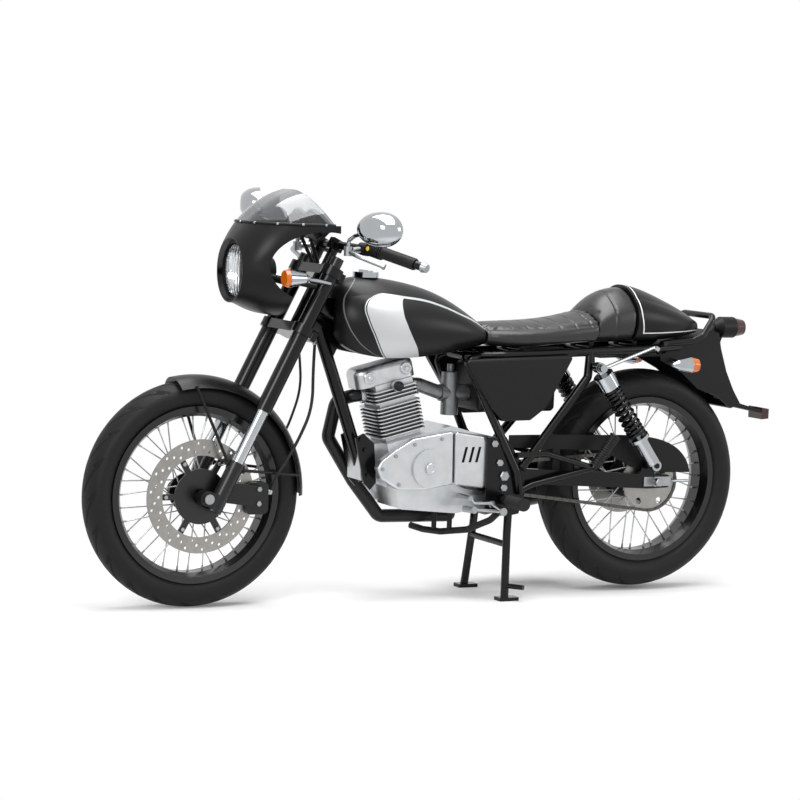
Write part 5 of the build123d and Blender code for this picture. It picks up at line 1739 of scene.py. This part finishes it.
@dataclass
class EngineTrim:
    """Small pieces on the engine: the plug's cap, the rocker caps and the side cover's centre cap."""

    head_at: Point = (0.1747, 0.0, 0.540)
    lean: float = 14.0

    def on_head(self, u: float, y: float, w: float) -> np.ndarray:
        """Turn a place in the head's own frame, in millimetres, into the model's frame.

        Args:
            u: Place along the head, in millimetres.
            y: Place across, in millimetres.
            w: Height on the head, in millimetres.

        Returns:
            The place in metres.
        """
        lean = np.radians(self.lean)
        out = np.array([np.cos(lean), 0.0, -np.sin(lean)])
        up = np.array([np.sin(lean), 0.0, np.cos(lean)])
        return np.array(self.head_at) + out * u / 1000.0 + up * w / 1000.0 + (0.0, y / 1000.0, 0.0)

    def build(self) -> None:
        """Turn the plug's cap, the four dished rocker caps with their hexagons and the centre cap."""
        cap = Shape("plug_cap", Body.CHASSIS, GRIP_RUBBER, "rubber_black")
        cap.turned(
            self.on_head(-4, 66.3, 40), (0.0, 1.0, 0.0),
            np.array(
                [
                    (0.0, 0.0), (0.0, 0.0135), (0.005, 0.0135), (0.007, 0.011), (0.012, 0.0085),
                    (0.0135, 0.006), (0.0135, 0.0),
                ]
            ),
            36,
        )
        cap.make()
        caps = Shape("rocker_caps", Body.CHASSIS, ENGINE_CAST, "engine_silver", sharp=30.0)
        dish = np.array(
            [
                (-0.002, 0.0), (-0.002, 0.0165), (0.0035, 0.0165), (0.005, 0.015), (0.005, 0.0105),
                (0.0038, 0.0095), (0.0038, 0.0),
            ]
        )
        hexagon = np.array(
            [(0.003, 0.0), (0.003, 0.0062), (0.0085, 0.0062), (0.0095, 0.005), (0.0095, 0.0)]
        )
        for u in (66.0, -44.0):
            for side in (1.0, -1.0):
                at = self.on_head(u, side * 46.0, 78.0)
                caps.turned(at, (0.0, side, 0.0), dish, 36)
                caps.turned(at, (0.0, side, 0.0), hexagon, 6)
        caps.make()
        left = (0.0, 1.0, 0.0)
        hub = Shape("cover_centre_cap", Body.CHASSIS, ENGINE_CAST, "engine_silver")
        hub.turned(
            (0.094, 0.109, 0.362), left,
            np.array(
                [
                    (0.0002, 0.0), (0.0002, 0.0155), (0.002, 0.0155), (0.003, 0.0145), (0.003, 0.009),
                    (0.0016, 0.008), (0.0016, 0.0),
                ]
            ),
            40,
        )
        hub.make()


@dataclass
class Studio:
    """White studio: floor, world, soft lamps and the camera at the photograph's place."""

    camera_at: Point = (3.3864, 6.3455, 1.1760)
    yaw: float = 27.09
    pitch: float = -5.13
    roll: float = 2.31
    lens_px: float = 2663.5
    frame_px: float = 800.0
    floor_half: float = 9.0
    fade: tuple[float, float] = (0.35, 1.3)

    def build(self) -> None:
        """Set the view transform and build floor, world, lamps and camera."""
        bpy.context.scene.view_settings.view_transform = "Standard"
        self.floor()
        self.world()
        self.lamps()
        self.camera()

    def seen(self, tree: Tree) -> Socket:
        """Give one for camera, glossy and transmitted rays, and zero for the light itself.

        Args:
            tree: Node tree that takes the nodes.

        Returns:
            One for the rays that see the background.
        """
        path = add_node(tree, "ShaderNodeLightPath")
        camera, through, glossy = (
            path.outputs[f"Is {kind} Ray"] for kind in ("Camera", "Transmission", "Glossy")
        )
        return compute(tree, "MAXIMUM", compute(tree, "MAXIMUM", camera, through), glossy)

    def floor(self) -> None:
        """Lay a pale matt floor that keeps the shadow and fades into the white around it."""
        half = self.floor_half
        mesh = bpy.data.meshes.new("studio_floor")
        corners = np.array([(-half, -half, 0.0), (half, -half, 0.0), (half, half, 0.0), (-half, half, 0.0)])
        mesh.from_pydata(corners.tolist(), [], [(0, 1, 2, 3)])
        obj = bpy.data.objects.new("studio_floor", mesh)
        bpy.context.scene.collection.objects.link(obj)
        material = bpy.data.materials.new("matt_white_floor")
        material.use_nodes = True
        shader = material.node_tree.nodes["Principled BSDF"]
        shader.inputs["Base Color"].default_value = linear("#f6f6f6")
        shader.inputs["Roughness"].default_value = 0.9
        shader.inputs["Specular IOR Level"].default_value = 0.1
        tree = material.node_tree
        place = add_node(tree, "ShaderNodeTexCoord").outputs["Object"]
        far = reach(tree, place, (0.0, 0.0, 0.0), (0.8, 1.0, 0.0))
        near_edge, far_edge = self.fade
        fade = add_node(
            tree,
            "ShaderNodeMapRange",
            {"Value": far, "From Min": near_edge, "From Max": far_edge},
            interpolation_type="SMOOTHSTEP",
        )
        share = both_of(tree, fade.outputs["Result"], self.seen(tree))
        white = add_node(tree, "ShaderNodeEmission", {"Color": linear("#ffffff"), "Strength": 1.0})
        mix = add_node(tree, "ShaderNodeMixShader", {0: share, 1: shader.outputs[0], 2: white.outputs[0]})
        tree.links.new(mix.outputs[0], tree.nodes["Material Output"].inputs["Surface"])
        mesh.materials.append(material)

    def world(self) -> None:
        """Fill the world with soft grey-white light that the camera sees as white."""
        world = bpy.data.worlds.new("white_studio")
        bpy.context.scene.world = world
        world.use_nodes = True
        tree = world.node_tree
        tree.nodes.clear()
        lit = add_node(tree, "ShaderNodeBackground", {"Color": linear("#ffffff"), "Strength": 0.45})
        white = add_node(tree, "ShaderNodeBackground", {"Color": linear("#ffffff"), "Strength": 1.0})
        mix = add_node(
            tree,
            "ShaderNodeMixShader",
            {0: self.seen(tree), 1: lit.outputs[0], 2: white.outputs[0]},
        )
        add_node(tree, "ShaderNodeOutputWorld", {"Surface": mix.outputs[0]})

    def lamps(self) -> None:
        """Hang one wide softbox overhead, a key to the camera's left and a fill at the tail."""
        rows = [
            ("overhead_softbox", (0.1, 0.3, 3.4), (0.0, 0.0, 0.5), (3.6, 2.2), 165.0),
            ("front_key", (3.4, 2.6, 2.4), (0.3, 0.0, 0.6), (1.6, 1.6), 70.0),
            ("tail_fill", (-3.4, 2.8, 1.8), (-0.4, 0.0, 0.5), (1.6, 1.6), 40.0),
        ]
        for name, at, to, size, power in rows:
            lamp = bpy.data.lights.new(name, "AREA")
            lamp.shape = "RECTANGLE"
            lamp.size, lamp.size_y = size
            lamp.energy = power
            obj = bpy.data.objects.new(name, lamp)
            bpy.context.scene.collection.objects.link(obj)
            away = np.array(at) - np.array(to)
            away /= np.linalg.norm(away)
            side = np.cross((0.0, 0.0, 1.0), away) if abs(away[2]) < 0.99 else np.array((0.0, 1.0, 0.0))
            side /= np.linalg.norm(side)
            turn = np.column_stack([side, np.cross(away, side), away])
            obj.matrix_world = Matrix.Translation(at) @ Matrix(turn.tolist()).to_4x4()

    def camera(self) -> None:
        """Stand the camera where the photograph was taken, with its lens and its roll."""
        yaw, pitch, roll = np.radians([self.yaw, self.pitch, self.roll])
        ahead = np.array([-np.sin(yaw) * np.cos(pitch), -np.cos(yaw) * np.cos(pitch), np.sin(pitch)])
        right = np.cross(ahead, (0.0, 0.0, 1.0))
        right /= np.linalg.norm(right)
        up = np.cross(right, ahead)
        rolled_right = np.cos(roll) * right + np.sin(roll) * up
        rolled_up = -np.sin(roll) * right + np.cos(roll) * up
        data = bpy.data.cameras.new("photo_camera")
        data.sensor_width = 36.0
        data.lens = self.lens_px * data.sensor_width / self.frame_px
        obj = bpy.data.objects.new("photo_camera", data)
        bpy.context.scene.collection.objects.link(obj)
        turn = np.column_stack([rolled_right, rolled_up, -ahead])
        obj.matrix_world = Matrix.Translation(self.camera_at) @ Matrix(turn.tolist()).to_4x4()
        bpy.context.scene.camera = obj


def main() -> None:
    """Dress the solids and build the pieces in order."""
    logging.basicConfig(level=logging.INFO)
    Studio().build()
    dress_solids()
    Lines().build()
    Tyre(
        "front_tread", "front_tyre", Body.FRONT_WHEEL, FRONT_AXLE,
        radius=0.296, half=0.050, bead=0.033, bulge_r=0.257, shoulder_y=0.044, shoulder_r=0.278,
    ).build()
    Tyre(
        "rear_tread", "rear_tyre", Body.REAR_WHEEL, REAR_AXLE,
        radius=0.307, half=0.065, bead=0.042, bulge_r=0.2614, shoulder_y=0.0572, shoulder_r=0.2836,
    ).build()
    Lacing("front_nipples", Body.FRONT_WHEEL, FRONT_AXLE, flange_r=0.050, gap=0.030).build()
    Lacing("rear_nipples", Body.REAR_WHEEL, REAR_AXLE, flange_r=0.062, gap=0.036).build()
    Springs().build()
    Chain().build()
    Nose().build()
    Grips().build()
    FootRubbers().build()
    Sprocket().build()
    ScreenTrim().build()
    EngineTrim().build()
    Fasteners().build()
    Pad(
        "seat_cover", "seat", 0.8, tuple(-0.384 + 0.046 * i for i in range(6)), 0.735,
        ((-0.412, 0.752), (-0.300, 0.741), (-0.170, 0.735), (-0.076, 0.733)),
    ).build()
    Pad("bump_cover", "seat_bump", 0.85, (-0.468,), 0.712, limit=0.0025).build()


if __name__ == "__main__":
    main()
